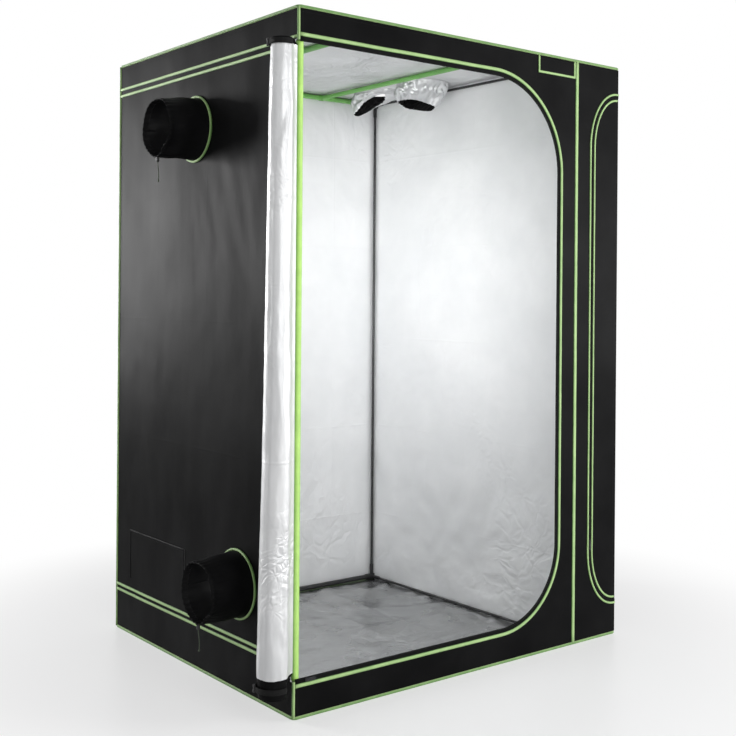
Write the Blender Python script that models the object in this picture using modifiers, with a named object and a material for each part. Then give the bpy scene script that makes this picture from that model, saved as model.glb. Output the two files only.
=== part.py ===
"""Indoor grow tent: a frame of poles inside a sewn cover, with a rolled main door and a zipped side door.

X runs from the left wall to the right wall, Y from the front to the rear and Z up. The origin is the
middle of the floor's underside. Lengths are in metres and angles in degrees.
"""
import math

import bmesh
import bpy
from mathutils import Matrix, Vector

# Whole tent, over the edge piping
TENT_WIDTH = 1.40
TENT_DEPTH = 1.14
TENT_HEIGHT = 2.03

# Cover cloth, sewn piping and the clearance between pieces that touch
CLOTH = 0.0012
GAP = 0.0003
WELD = 0.00001
CUT_OVERRUN = 0.004
PIPING_RADIUS = 0.0045
PIPING_CORNER_RADIUS = 0.012
STRIP_WIDTH = 0.009
STRIP_HEIGHT = 0.003
SEAM_END_INSET = 0.001

# Frame poles, the thinner partition tubes and the plastic connectors
POLE_RADIUS = 0.0095
POLE_WALL = 0.001
TUBE_RADIUS = 0.0050
TUBE_WALL = 0.001
POLE_FIT = 0.0003
ARM_WALL = 0.0015
HUB_STEP = 0.0004
ARM_LENGTH = 0.050
SOCKET_FLOOR = 0.016
TEE_ARM_LENGTH = 0.030
TEE_SOCKET_FLOOR = 0.0125

# Partition between the main chamber and the side compartment
SEAM_FROM_RIGHT = 0.224

# Hanging bars that clip over the front and rear top rails
LEFT_BAR_FROM_LEFT = 0.320
RIGHT_BAR_FROM_VENTS = 0.040
CLIP_WALL = 0.0022
CLIP_WIDTH = 0.024
CLIP_MOUTH = 0.014

# Green sleeve round the near post, to which the main door is sewn
POST_SLEEVE_BOTTOM = 0.109
POST_SLEEVE_DROP = 0.100
POST_SLEEVE_CLOTH = 0.0015
POST_SLEEVE_MARGIN = 0.003

# Main doorway, along the middle of its green bead
DOOR_TOP_DROP = 0.084
DOOR_BOTTOM = 0.096
DOOR_RIGHT_FROM_SEAM = 0.076
DOOR_TOP_RADIUS = 0.32
DOOR_BOTTOM_RADIUS = 0.27
DOOR_BEAD_WIDTH = 0.012
DOOR_BEAD_HEIGHT = 0.004
DOOR_TAPE_WIDTH = 0.014
TAPE_THICKNESS = 0.001

# Side doorway, along the middle of its outer green bead
SIDE_TOP_DROP = 0.098
SIDE_BOTTOM = 0.112
SIDE_LEFT_FROM_SEAM = 0.073
SIDE_ARC_WIDTH = 0.140
SIDE_ARC_HEIGHT = 0.200
SIDE_BEAD_WIDTH = 0.008
SIDE_BEAD_HEIGHT = 0.003
SIDE_TAPE_WIDTH = 0.0085
SIDE_DOOR_TAPE_WIDTH = 0.0045
SIDE_BEAD_STOP = 0.006
ZIP_GAP = 0.0005

# Zip sliders and their pulls
SLIDER_LENGTH = 0.016
SLIDER_HEIGHT = 0.004
SLIDER_BEVEL = 0.0008
PULL_LENGTH = 0.028
PULL_THICKNESS = 0.0012
PULL_NECK_SHARE = 0.55
MAIN_SLIDER_WIDTH = 0.010
MAIN_SLIDER_FROM_LEFT = 0.050
SIDE_SLIDER_WIDTH = 0.0075
SIDE_SLIDER_FROM_FLOOR = 0.345

# Rolled main door, its ties and their toggles
ROLL_BOTTOM = 0.075
ROLL_TOP_RADIUS = 0.035
ROLL_BOTTOM_RADIUS = 0.050
ROLL_HEM_RADIUS = 0.044
ROLL_HEM_HEIGHT = 0.060
ROLL_OFF_WALL = 0.004
ROLL_FROM_FRONT = 0.024
ROLL_LAYER = 0.0025
ROLL_FOLD_DEPTH = 0.0018
ROLL_FOLD_PITCH = 0.42
ROLL_CORE_RADIUS = 0.013
ROLL_CORE_DEPTH = 0.045
ROLL_TAIL_THICKNESS = 0.0024
ROLL_TAIL_MARGIN = 0.002
ROLL_START_DEGREES = 325
ROLL_SWEEP_DEGREES = 335
TAIL_DEGREES = 205
FOLD_MEAN_SHARE = 0.5
TIE_HEIGHT = 0.016
TIE_ARC_DEGREES = (360, 654)
TIE_THICKNESS = 0.0016
TIE_TOP_FROM_ROLL_TOP = 0.012
TIE_BOTTOM_FROM_ROLL_BOTTOM = 0.026
TOGGLE_RADIUS = 0.0045
TOGGLE_LENGTH = 0.022
TOGGLE_DEGREES = 150

# Double stripes sewn round the left, rear and right walls, by their height
LOWER_STRIPE_HEIGHTS = (0.141, 0.160)
UPPER_STRIPE_DROPS = (0.112, 0.089)
STRIPE_END_FROM_FRONT = 0.024

# Round vents with their cloth sleeves: left wall
VENT_RADIUS = 0.100
VENT_MOUTH_RADIUS = 0.086
VENT_LENGTH = 0.145
VENT_RIPPLE = 0.004
VENT_FOLDS = 5
VENT_DROOP = 0.007
VENT_HEM = 0.016
VENT_HEM_BULGE = 0.0015
VENT_RING_RADIUS = 0.004
UPPER_VENT_FROM_FRONT = 0.587
UPPER_VENT_DROP = 0.291
LOWER_VENT_FROM_FRONT = 0.307
LOWER_VENT_HEIGHT = 0.326

# Roof vents, whose sleeves are pushed down inside
ROOF_VENTS = {
    "rear": {"from_seam": 0.146, "from_rear": 0.215, "drop": 0.070, "shift": (0.012, -0.010),
             "half_length": 0.080, "half_width": 0.030, "turn": -38.0, "tilt": 0.030},
    "front": {"from_seam": 0.136, "from_rear": 0.475, "drop": 0.088, "shift": (-0.010, 0.000),
              "half_length": 0.074, "half_width": 0.034, "turn": -52.0, "tilt": -0.012},
}

# Drawcords of the left sleeves and their cord locks
CORD_RADIUS = 0.00125
CORD_LOCK_RADIUS = 0.0055
CORD_LOCK_HEIGHT = 0.016
CORD_LOCK_BEVEL = 0.0012
CORD_LOCK_FROM_MOUTH = 0.008
CORD_DROP_ROUTE = (
    (0.0000, 0.0000, 0.0000),
    (0.0002, 0.0000, -0.0060),
    (0.0008, -0.0004, -0.0130),
    (0.0015, -0.0014, -0.0210),
    (0.0018, -0.0030, -0.0290),
    (0.0014, -0.0048, -0.0370),
    (0.0006, -0.0062, -0.0450),
    (0.0000, -0.0068, -0.0530),
    (-0.0002, -0.0066, -0.0610),
)

# Rectangular vent window on the left wall
WINDOW_NEAR_FROM_REAR = 0.501
WINDOW_FAR_FROM_REAR = 0.108
WINDOW_BOTTOM = 0.200
WINDOW_TOP = 0.369
WINDOW_BORDER = 0.022
SCREEN_BORDER = 0.010
SCREEN_THREAD = 0.0030
SCREEN_COLUMNS = 9
SCREEN_ROWS = 4
FLAP_HEM_WIDTH = 0.008
FLAP_HEM_HEIGHT = 0.0008

# Label pocket under the front roof edge
POCKET_LEFT_FROM_SEAM = 0.194
POCKET_RIGHT_FROM_SEAM = 0.011
POCKET_HEIGHT = 0.058
POCKET_THICKNESS = 0.0014
POCKET_RIM_WIDTH = 0.007
POCKET_RIM_HEIGHT = 0.0014

# Facets of round pieces
POLE_SIDES = 12
ARM_SIDES = 10
HUB_RINGS = 5
VENT_SIDES = 24
VENT_STEPS = 5
ARC_STEPS = 8
CORNER_STEPS = 4
ROLL_SIDES = 24
ROLL_STEPS = 12

# Places worked out from the sizes above
WALL_X = TENT_WIDTH / 2 - PIPING_RADIUS
WALL_Y = TENT_DEPTH / 2 - PIPING_RADIUS
ROOF_Z = TENT_HEIGHT - PIPING_RADIUS
HALF_CLOTH = CLOTH / 2
EDGE_INSET = PIPING_RADIUS + GAP
WALL_BOTTOM = PIPING_RADIUS + EDGE_INSET
WALL_TOP = ROOF_Z - EDGE_INSET
ROUND_SHARE = math.cos(math.pi / ARM_SIDES)
POLE_BORE_RADIUS = (POLE_RADIUS + POLE_FIT) / ROUND_SHARE
TUBE_BORE_RADIUS = (TUBE_RADIUS + POLE_FIT) / ROUND_SHARE
ARM_RADIUS = POLE_BORE_RADIUS + ARM_WALL
HUB_RADIUS = ARM_RADIUS + HUB_STEP
BRANCH_RADIUS = TUBE_BORE_RADIUS + ARM_WALL
FRAME_INSET = HALF_CLOTH + GAP + HUB_RADIUS
POST_X = WALL_X - FRAME_INSET
POST_Y = WALL_Y - FRAME_INSET
TOP_RAIL_Z = ROOF_Z - FRAME_INSET
BOTTOM_RAIL_Z = PIPING_RADIUS + math.sqrt((HUB_RADIUS + GAP + PIPING_RADIUS) ** 2 - FRAME_INSET ** 2)
SEAM_X = TENT_WIDTH / 2 - SEAM_FROM_RIGHT
TUBE_X = SEAM_X - HALF_CLOTH - GAP - BRANCH_RADIUS
FRONT_FACE = -WALL_Y - HALF_CLOTH
POST_SLEEVE_RADIUS = POLE_RADIUS + GAP + POST_SLEEVE_CLOTH
VENT_SLEEVE_RADIUS = VENT_RADIUS - GAP
POST_SLEEVE_TOP = TENT_HEIGHT - POST_SLEEVE_DROP
ROLL_TOP = POST_SLEEVE_TOP
DOOR_TOP = TENT_HEIGHT - DOOR_TOP_DROP
DOOR_RIGHT_X = SEAM_X - DOOR_RIGHT_FROM_SEAM
SIDE_TOP = TENT_HEIGHT - SIDE_TOP_DROP
SIDE_LEFT_X = SEAM_X + SIDE_LEFT_FROM_SEAM
STRIPE_HEIGHTS = LOWER_STRIPE_HEIGHTS + tuple(TENT_HEIGHT - drop for drop in UPPER_STRIPE_DROPS)
LEFT_VENTS = {
    "upper": (UPPER_VENT_FROM_FRONT - TENT_DEPTH / 2, TENT_HEIGHT - UPPER_VENT_DROP),
    "lower": (LOWER_VENT_FROM_FRONT - TENT_DEPTH / 2, LOWER_VENT_HEIGHT),
}
ROOF_VENTS_LEFT = SEAM_X - VENT_RADIUS - max(vent["from_seam"] for vent in ROOF_VENTS.values())
BARS_X = {
    "hanging_bar_left": LEFT_BAR_FROM_LEFT - TENT_WIDTH / 2,
    "hanging_bar_right": ROOF_VENTS_LEFT - RIGHT_BAR_FROM_VENTS,
}
WINDOW_NEAR_Y = TENT_DEPTH / 2 - WINDOW_NEAR_FROM_REAR
WINDOW_FAR_Y = TENT_DEPTH / 2 - WINDOW_FAR_FROM_REAR

BLACK_CANVAS = ("black_canvas", (0.028, 0.028, 0.030), 0.75, 0.0)
SILVER_LINING = ("silver_lining", (0.78, 0.79, 0.80), 0.38, 0.0)
GREEN_PIPING = ("green_piping", (0.45, 0.68, 0.25), 0.55, 0.0)
BRIGHT_GREEN = ("bright_green_sleeve", (0.52, 0.80, 0.16), 0.50, 0.0)
GREEN_POLE = ("green_pole", (0.22, 0.48, 0.14), 0.45, 0.0)
BLACK_POLE = ("black_pole", (0.03, 0.03, 0.03), 0.40, 0.3)
BLACK_PLASTIC = ("black_plastic", (0.02, 0.02, 0.02), 0.45, 0.0)
BLACK_ZIP = ("black_zip", (0.015, 0.015, 0.015), 0.60, 0.0)
CORD_GREY = ("cord_grey", (0.35, 0.42, 0.32), 0.80, 0.0)

FACING_FRONT = Matrix.Rotation(math.radians(90), 4, "X")
FACING_SIDE = Matrix.Rotation(math.radians(90), 4, "Z") @ FACING_FRONT


def start_empty():
    for leftover in list(bpy.data.objects):
        bpy.data.objects.remove(leftover, do_unlink=True)
    tent = bpy.data.collections.new("grow_tent")
    tools = bpy.data.collections.new("cutters")
    bpy.context.scene.collection.children.link(tent)
    bpy.context.scene.collection.children.link(tools)
    return tent, tools


TENT, CUTTERS = start_empty()


def finish_of(finish):
    name, colour, roughness, metallic = finish
    made = bpy.data.materials.get(name)
    if made is None:
        made = bpy.data.materials.new(name)
        made.use_nodes = True
        shader = made.node_tree.nodes["Principled BSDF"]
        shader.inputs["Base Color"].default_value = (*colour, 1.0)
        shader.inputs["Roughness"].default_value = roughness
        shader.inputs["Metallic"].default_value = metallic
    return made


def add_piece(name, data, finish, matrix=None):
    piece = bpy.data.objects.new(name, data)
    if not data.materials:
        data.materials.append(finish_of(finish))
    TENT.objects.link(piece)
    piece.matrix_world = matrix or Matrix.Identity(4)
    return piece


def add_tool(name, data, matrix=None):
    tool = bpy.data.objects.new(name, data)
    CUTTERS.objects.link(tool)
    tool.matrix_world = matrix or Matrix.Identity(4)
    tool.hide_render = True
    tool.display_type = "WIRE"
    return tool


def boolean(piece, tool, operation):
    cut = piece.modifiers.new(tool.name, "BOOLEAN")
    cut.operation = operation
    cut.object = tool
    return cut


def mesh_from(name, shape):
    mesh = bpy.data.meshes.new(name)
    bmesh.ops.recalc_face_normals(shape, faces=shape.faces)
    shape.to_mesh(mesh)
    shape.free()
    return mesh


def smooth(mesh, sharp_degrees=35):
    mesh.shade_smooth()
    mesh.set_sharp_from_angle(angle=math.radians(sharp_degrees))
    return mesh


def evaluated_mesh(source, name):
    bpy.context.view_layer.update()
    ready = source.evaluated_get(bpy.context.evaluated_depsgraph_get())
    mesh = bpy.data.meshes.new_from_object(ready)
    mesh.name = name
    shape = bmesh.new()
    shape.from_mesh(mesh)
    bmesh.ops.remove_doubles(shape, verts=shape.verts, dist=WELD)
    shape.to_mesh(mesh)
    shape.free()
    return mesh


def take_mesh(source, name):
    mesh = evaluated_mesh(source, name)
    bpy.data.objects.remove(source, do_unlink=True)
    return mesh


def box_mesh(name, low, high):
    size = Vector(high) - Vector(low)
    middle = (Vector(high) + Vector(low)) / 2
    shape = bmesh.new()
    bmesh.ops.create_cube(shape, size=1.0, matrix=Matrix.Translation(middle) @ Matrix.Diagonal((*size, 1.0)))
    return mesh_from(name, shape)


def rod_mesh(name, radius, start, end, sides):
    start, end = Vector(start), Vector(end)
    along = end - start
    turn = along.to_track_quat("Z", "Y").to_matrix().to_4x4()
    shape = bmesh.new()
    bmesh.ops.create_cone(shape, cap_ends=True, segments=sides, radius1=radius, radius2=radius,
                          depth=along.length, matrix=Matrix.Translation((start + end) / 2) @ turn)
    return mesh_from(name, shape)


def hollow_pole(name, start, end, radius, wall, finish):
    """A pole turned from a rectangular section of its wall."""
    start, end = Vector(start), Vector(end)
    along = end - start
    inner = radius - wall
    shape = bmesh.new()
    corners = [(radius, along.length), (radius, 0), (inner, 0), (inner, along.length)]
    points = [shape.verts.new((r, 0, z)) for r, z in corners]
    for index, point in enumerate(points):
        shape.edges.new((point, points[(index + 1) % len(points)]))
    mesh = bpy.data.meshes.new(name)
    shape.to_mesh(mesh)
    shape.free()
    turn = along.to_track_quat("Z", "Y").to_matrix().to_4x4()
    pole = add_piece(name, mesh, finish, Matrix.Translation(start) @ turn)
    screw = pole.modifiers.new("turned", "SCREW")
    screw.steps = POLE_SIDES
    screw.render_steps = POLE_SIDES
    screw.use_merge_vertices = True
    screw.merge_threshold = WELD
    screw.use_smooth_shade = True
    return pole


def arc(centre, radii, start, end, steps=ARC_STEPS):
    points = []
    for step in range(steps + 1):
        angle = math.radians(start + (end - start) * step / steps)
        points.append((centre[0] + radii[0] * math.cos(angle), centre[1] + radii[1] * math.sin(angle)))
    return points


def circle(centre, radius):
    return arc(centre, (radius, radius), 0, 360, VENT_SIDES)[:-1]


def rectangle(low, high):
    return [(low[0], low[1]), (high[0], low[1]), (high[0], high[1]), (low[0], high[1])]


def rounded_rectangle(low, high, radius):
    corners = [((low[0] + radius, low[1] + radius), 180), ((high[0] - radius, low[1] + radius), 270),
               ((high[0] - radius, high[1] - radius), 0), ((low[0] + radius, high[1] - radius), 90)]
    points = []
    for centre, start in corners:
        points += arc(centre, (radius, radius), start, start + 90, CORNER_STEPS)
    return points


def flat_curve(name, outlines, thickness):
    curve = bpy.data.curves.new(name, "CURVE")
    curve.dimensions = "2D"
    curve.fill_mode = "BOTH"
    curve.extrude = thickness / 2
    for outline in outlines:
        spline = curve.splines.new("POLY")
        spline.points.add(len(outline) - 1)
        for point, (x, y) in zip(spline.points, outline):
            point.co = (x, y, 0, 1)
        spline.use_cyclic_u = True
    return curve


def flat_panel(name, outlines, thickness, place, facing, finish):
    return add_piece(name, flat_curve(name, outlines, thickness), finish, Matrix.Translation(place) @ facing)


def flat_mesh(name, outlines, thickness, place, facing):
    """The same flat shape as a closed mesh, for pieces that are joined or cut."""
    source = add_tool(name + "_outline", flat_curve(name, outlines, thickness))
    mesh = take_mesh(source, name)
    mesh.transform(Matrix.Translation(place) @ facing)
    return mesh


def tube_curve(name, points, radius, closed=False, resolution=2):
    curve = bpy.data.curves.new(name, "CURVE")
    curve.dimensions = "3D"
    curve.bevel_depth = radius
    curve.bevel_resolution = resolution
    curve.use_fill_caps = not closed
    spline = curve.splines.new("POLY")
    spline.points.add(len(points) - 1)
    for point, place in zip(spline.points, points):
        point.co = (*place, 1)
    spline.use_cyclic_u = closed
    return curve


def tube_mesh(name, points, radius, closed=False, resolution=2):
    return take_mesh(add_tool(name + "_line", tube_curve(name, points, radius, closed, resolution)), name)


def bead_mesh(name, path, width, height, place, facing):
    """A piping bead along a flat path, oval in section."""
    mesh = tube_mesh(name, [(x, y, 0) for x, y in path], width / 2, resolution=1)
    mesh.transform(Matrix.Diagonal((1, 1, height / width, 1)))
    mesh.transform(Matrix.Translation(place) @ facing)
    return mesh


def strip_mesh(name, start, end, out):
    """A sewn-on strip with a flat back on a wall and chamfered outer edges."""
    start, end, out = Vector(start), Vector(end), Vector(out)
    along = end - start
    across = along.normalized().cross(out)
    half, slope = STRIP_WIDTH / 2, STRIP_HEIGHT / 2
    section = [(-half, 0), (half, 0), (half, slope), (half - slope, STRIP_HEIGHT),
               (slope - half, STRIP_HEIGHT), (-half, slope)]
    shape = bmesh.new()
    points = [shape.verts.new(start + across * a + out * (b + HALF_CLOTH + GAP)) for a, b in section]
    face = shape.faces.new(points)
    pulled = bmesh.ops.extrude_face_region(shape, geom=[face])
    moved = [item for item in pulled["geom"] if isinstance(item, bmesh.types.BMVert)]
    bmesh.ops.translate(shape, verts=moved, vec=along)
    return mesh_from(name, shape)


def build_frame():
    post_ends = (BOTTOM_RAIL_Z + SOCKET_FLOOR + GAP, TOP_RAIL_Z - SOCKET_FLOOR - GAP)
    for side, x in (("left", -POST_X), ("right", POST_X)):
        for end, y in (("front", -POST_Y), ("rear", POST_Y)):
            hollow_pole(f"post_{end}_{side}", (x, y, post_ends[0]), (x, y, post_ends[1]),
                        POLE_RADIUS, POLE_WALL, BLACK_POLE)
    reach_x = POST_X - SOCKET_FLOOR - GAP
    reach_y = POST_Y - SOCKET_FLOOR - GAP
    for level, z, finish in (("top", TOP_RAIL_Z, GREEN_POLE), ("bottom", BOTTOM_RAIL_Z, BLACK_POLE)):
        for end, y in (("front", -POST_Y), ("rear", POST_Y)):
            ends = (-reach_x, y, z), (reach_x, y, z)
            hollow_pole(f"{level}_rail_{end}", *ends, POLE_RADIUS, POLE_WALL, finish)
        for side, x in (("left", -POST_X), ("right", POST_X)):
            ends = (x, -reach_y, z), (x, reach_y, z)
            hollow_pole(f"{level}_rail_{side}", *ends, POLE_RADIUS, POLE_WALL, finish)
    build_corner_connectors()
    build_partition_tubes()


def joined_mesh(name, meshes, cuts=()):
    """One closed mesh from overlapping meshes, with the cuts taken out of it."""
    base = add_tool(name + "_base", meshes[0])
    tools = []
    for index, mesh in enumerate(meshes[1:]):
        tools.append(add_tool(f"{name}_join_{index}", mesh))
        boolean(base, tools[-1], "UNION")
    for index, mesh in enumerate(cuts):
        tools.append(add_tool(f"{name}_cut_{index}", mesh))
        boolean(base, tools[-1], "DIFFERENCE")
    made = take_mesh(base, name)
    for tool in tools:
        bpy.data.objects.remove(tool, do_unlink=True)
    return made


def build_corner_connectors():
    """Three sockets that meet in a round hub; every corner is the same piece, turned."""
    arms = []
    bores = []
    for axis in "XYZ":
        along = Vector([float(axis == letter) for letter in "XYZ"])
        arms.append(rod_mesh("arm" + axis, ARM_RADIUS, (0, 0, 0), along * ARM_LENGTH, ARM_SIDES))
        bores.append(rod_mesh("bore" + axis, POLE_BORE_RADIUS, along * SOCKET_FLOOR,
                              along * (ARM_LENGTH + CUT_OVERRUN), ARM_SIDES))
    hub = bmesh.new()
    bmesh.ops.create_uvsphere(hub, u_segments=ARM_SIDES, v_segments=HUB_RINGS, radius=HUB_RADIUS)
    connector = smooth(joined_mesh("corner_connector", [mesh_from("hub", hub)] + arms, bores))
    turned_over = Matrix.Rotation(math.radians(180), 4, "X")
    for level, z, flip, first in (("bottom", BOTTOM_RAIL_Z, Matrix.Identity(4), ("left", "front")),
                                  ("top", TOP_RAIL_Z, turned_over, ("left", "rear"))):
        corners = [("left", "front"), ("right", "front"), ("right", "rear"), ("left", "rear")]
        while corners[0] != first:
            corners.append(corners.pop(0))
        for quarter, (side, end) in enumerate(corners):
            x = POST_X if side == "right" else -POST_X
            y = POST_Y if end == "rear" else -POST_Y
            turn = Matrix.Rotation(math.radians(90 * quarter), 4, "Z")
            add_piece(f"connector_{level}_{end}_{side}", connector, BLACK_PLASTIC,
                      Matrix.Translation((x, y, z)) @ turn @ flip)


def build_partition_tubes():
    through = rod_mesh("through", ARM_RADIUS, (-TEE_ARM_LENGTH, 0, 0), (TEE_ARM_LENGTH, 0, 0), ARM_SIDES)
    run = TEE_ARM_LENGTH + CUT_OVERRUN
    cuts = [rod_mesh("through_bore", POLE_BORE_RADIUS, (-run, 0, 0), (run, 0, 0), ARM_SIDES)]
    branches = []
    for axis in "YZ":
        along = Vector([float(axis == letter) for letter in "XYZ"])
        branches.append(rod_mesh("branch" + axis, BRANCH_RADIUS, (0, 0, 0), along * ARM_LENGTH, ARM_SIDES))
        cuts.append(rod_mesh("branch_bore" + axis, TUBE_BORE_RADIUS, along * TEE_SOCKET_FLOOR,
                             along * (ARM_LENGTH + CUT_OVERRUN), ARM_SIDES))
    tee = smooth(joined_mesh("partition_tee", [through] + branches, cuts))
    turns = {("bottom", "front"): Matrix.Identity(4)}
    for level, end, axis in (("bottom", "rear", "Z"), ("top", "front", "Y"), ("top", "rear", "X")):
        turns[level, end] = Matrix.Rotation(math.radians(180), 4, axis)
    for (level, end), turn in turns.items():
        y = POST_Y if end == "rear" else -POST_Y
        z = TOP_RAIL_Z if level == "top" else BOTTOM_RAIL_Z
        add_piece(f"tee_{level}_{end}", tee, BLACK_PLASTIC, Matrix.Translation((TUBE_X, y, z)) @ turn)
    start = TEE_SOCKET_FLOOR + GAP
    for end, y in (("front", -POST_Y), ("rear", POST_Y)):
        ends = (TUBE_X, y, BOTTOM_RAIL_Z + start), (TUBE_X, y, TOP_RAIL_Z - start)
        hollow_pole(f"partition_post_{end}", *ends, TUBE_RADIUS, TUBE_WALL, BLACK_POLE)
    for level, z in (("top", TOP_RAIL_Z), ("bottom", BOTTOM_RAIL_Z)):
        ends = (TUBE_X, start - POST_Y, z), (TUBE_X, POST_Y - start, z)
        hollow_pole(f"partition_rail_{level}", *ends, TUBE_RADIUS, TUBE_WALL, BLACK_POLE)


def build_hanging_bars():
    """A tube with an open clip at each end that snaps over a top rail and slides along it."""
    bore = POLE_BORE_RADIUS
    half = CLIP_WIDTH / 2
    run = half + CUT_OVERRUN
    bar = rod_mesh("bar", POLE_RADIUS, (0, bore - POST_Y, 0), (0, POST_Y - bore, 0), ARM_SIDES)
    clips = []
    cuts = []
    for y in (-POST_Y, POST_Y):
        clips.append(rod_mesh("clip", bore + CLIP_WALL, (-half, y, 0), (half, y, 0), ARM_SIDES))
        cuts.append(rod_mesh("clip_bore", bore, (-run, y, 0), (run, y, 0), ARM_SIDES))
        reach = bore + CLIP_WALL + CUT_OVERRUN
        cuts.append(box_mesh("clip_mouth", (-run, y - CLIP_MOUTH / 2, -reach), (run, y + CLIP_MOUTH / 2, 0)))
    inside = POST_Y - bore + POLE_WALL
    cuts.append(rod_mesh("bar_bore", POLE_RADIUS - POLE_WALL, (0, -inside, 0), (0, inside, 0), ARM_SIDES))
    mesh = smooth(joined_mesh("hanging_bar", [bar] + clips, cuts))
    for name, x in BARS_X.items():
        add_piece(name, mesh, GREEN_POLE, Matrix.Translation((x, 0, TOP_RAIL_Z)))


def doorway_path(inset):
    """The main doorway from the near corner along its top, down its right side and back along its foot."""
    left = -WALL_X + EDGE_INSET
    right = DOOR_RIGHT_X
    path = [(left, DOOR_TOP - inset)]
    radius = DOOR_TOP_RADIUS - inset
    path += arc((right - DOOR_TOP_RADIUS, DOOR_TOP - DOOR_TOP_RADIUS), (radius, radius), 90, 0)
    radius = DOOR_BOTTOM_RADIUS - inset
    path += arc((right - DOOR_BOTTOM_RADIUS, DOOR_BOTTOM + DOOR_BOTTOM_RADIUS), (radius, radius), 0, -90)
    path.append((left, DOOR_BOTTOM + inset))
    return path


def side_path(inset, right):
    """The side doorway from the front right corner along its top, down its left side and back."""
    left = SIDE_LEFT_X
    radii = (SIDE_ARC_WIDTH - inset, SIDE_ARC_HEIGHT - inset)
    path = [(right, SIDE_TOP - inset)]
    path += arc((left + SIDE_ARC_WIDTH, SIDE_TOP - SIDE_ARC_HEIGHT), radii, 90, 180)
    path += arc((left + SIDE_ARC_WIDTH, SIDE_BOTTOM + SIDE_ARC_HEIGHT), radii, 180, 270)
    path.append((right, SIDE_BOTTOM + inset))
    return path


DOOR_EDGE_INSET = DOOR_BEAD_WIDTH / 2 + DOOR_TAPE_WIDTH
SIDE_EDGE_INSET = SIDE_BEAD_WIDTH / 2 + SIDE_TAPE_WIDTH
FRONT_RIGHT = WALL_X + HALF_CLOTH


def build_cover():
    floor_low = (-WALL_X + EDGE_INSET, -WALL_Y + EDGE_INSET)
    floor_high = (WALL_X - EDGE_INSET, WALL_Y - EDGE_INSET)
    corner = PIPING_CORNER_RADIUS - EDGE_INSET
    sheet = rounded_rectangle(floor_low, floor_high, corner)
    flat_panel("floor_panel", [sheet], CLOTH, (0, 0, HALF_CLOTH), Matrix.Identity(4), SILVER_LINING)
    holes = [circle(roof_vent_place(vent), VENT_RADIUS) for vent in ROOF_VENTS.values()]
    flat_panel("roof_panel", [sheet] + holes, CLOTH, (0, 0, ROOF_Z), Matrix.Identity(4), BLACK_CANVAS)
    side = WALL_Y - EDGE_INSET
    rear = rectangle((-WALL_X + EDGE_INSET, WALL_BOTTOM), (WALL_X - EDGE_INSET, WALL_TOP))
    flat_panel("rear_wall", [rear], CLOTH, (0, WALL_Y, 0), FACING_FRONT, BLACK_CANVAS)
    right = rectangle((FRONT_FACE + CLOTH + GAP, WALL_BOTTOM), (side, WALL_TOP))
    flat_panel("right_wall", [right], CLOTH, (WALL_X, 0, 0), FACING_SIDE, BLACK_CANVAS)
    build_left_wall()
    build_front_panel()
    build_partition_wall()


def build_left_wall():
    front, rear = -WALL_Y + EDGE_INSET, WALL_Y - EDGE_INSET
    sewn_to = -POST_Y + POST_SLEEVE_MARGIN
    low = POST_SLEEVE_BOTTOM - POST_SLEEVE_MARGIN
    high = POST_SLEEVE_TOP + POST_SLEEVE_MARGIN
    wall = [(front, WALL_BOTTOM), (rear, WALL_BOTTOM), (rear, WALL_TOP), (front, WALL_TOP),
            (front, high), (sewn_to, high), (sewn_to, low), (front, low)]
    holes = [circle(place, VENT_RADIUS) for place in LEFT_VENTS.values()]
    holes.append(rectangle((WINDOW_NEAR_Y + WINDOW_BORDER, WINDOW_BOTTOM + WINDOW_BORDER),
                           (WINDOW_FAR_Y - WINDOW_BORDER, WINDOW_TOP - WINDOW_BORDER)))
    flat_panel("left_wall", [wall] + holes, CLOTH, (-WALL_X, 0, 0), FACING_SIDE, BLACK_CANVAS)


def build_front_panel():
    left = -WALL_X + EDGE_INSET
    outline = [(left, WALL_BOTTOM), (FRONT_RIGHT, WALL_BOTTOM)]
    outline += reversed(side_path(SIDE_EDGE_INSET, FRONT_RIGHT))
    outline += [(FRONT_RIGHT, WALL_TOP), (left, WALL_TOP)]
    outline += doorway_path(DOOR_EDGE_INSET)
    flat_panel("front_panel", [outline], CLOTH, (0, -WALL_Y, 0), FACING_FRONT, BLACK_CANVAS)


def build_partition_wall():
    """The partition reaches floor, roof and walls, with its corners cut out round the rails."""
    front, rear = -WALL_Y + HALF_CLOTH + GAP, WALL_Y - HALF_CLOTH - GAP
    low, high = CLOTH + GAP, ROOF_Z - HALF_CLOTH - GAP
    notch = FRAME_INSET + ARM_RADIUS + GAP
    near, far = -WALL_Y + notch, WALL_Y - notch
    foot, head = BOTTOM_RAIL_Z + ARM_RADIUS + GAP, ROOF_Z - notch
    outline = [(near, low), (far, low), (far, foot), (rear, foot), (rear, head), (far, head),
               (far, high), (near, high), (near, head), (front, head), (front, foot), (near, foot)]
    flat_panel("partition_wall", [outline], CLOTH, (SEAM_X, 0, 0), FACING_SIDE, SILVER_LINING)


def loop_path(z):
    low, high = (-WALL_X, -WALL_Y), (WALL_X, WALL_Y)
    return [(x, y, z) for x, y in rounded_rectangle(low, high, PIPING_CORNER_RADIUS)]


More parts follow.
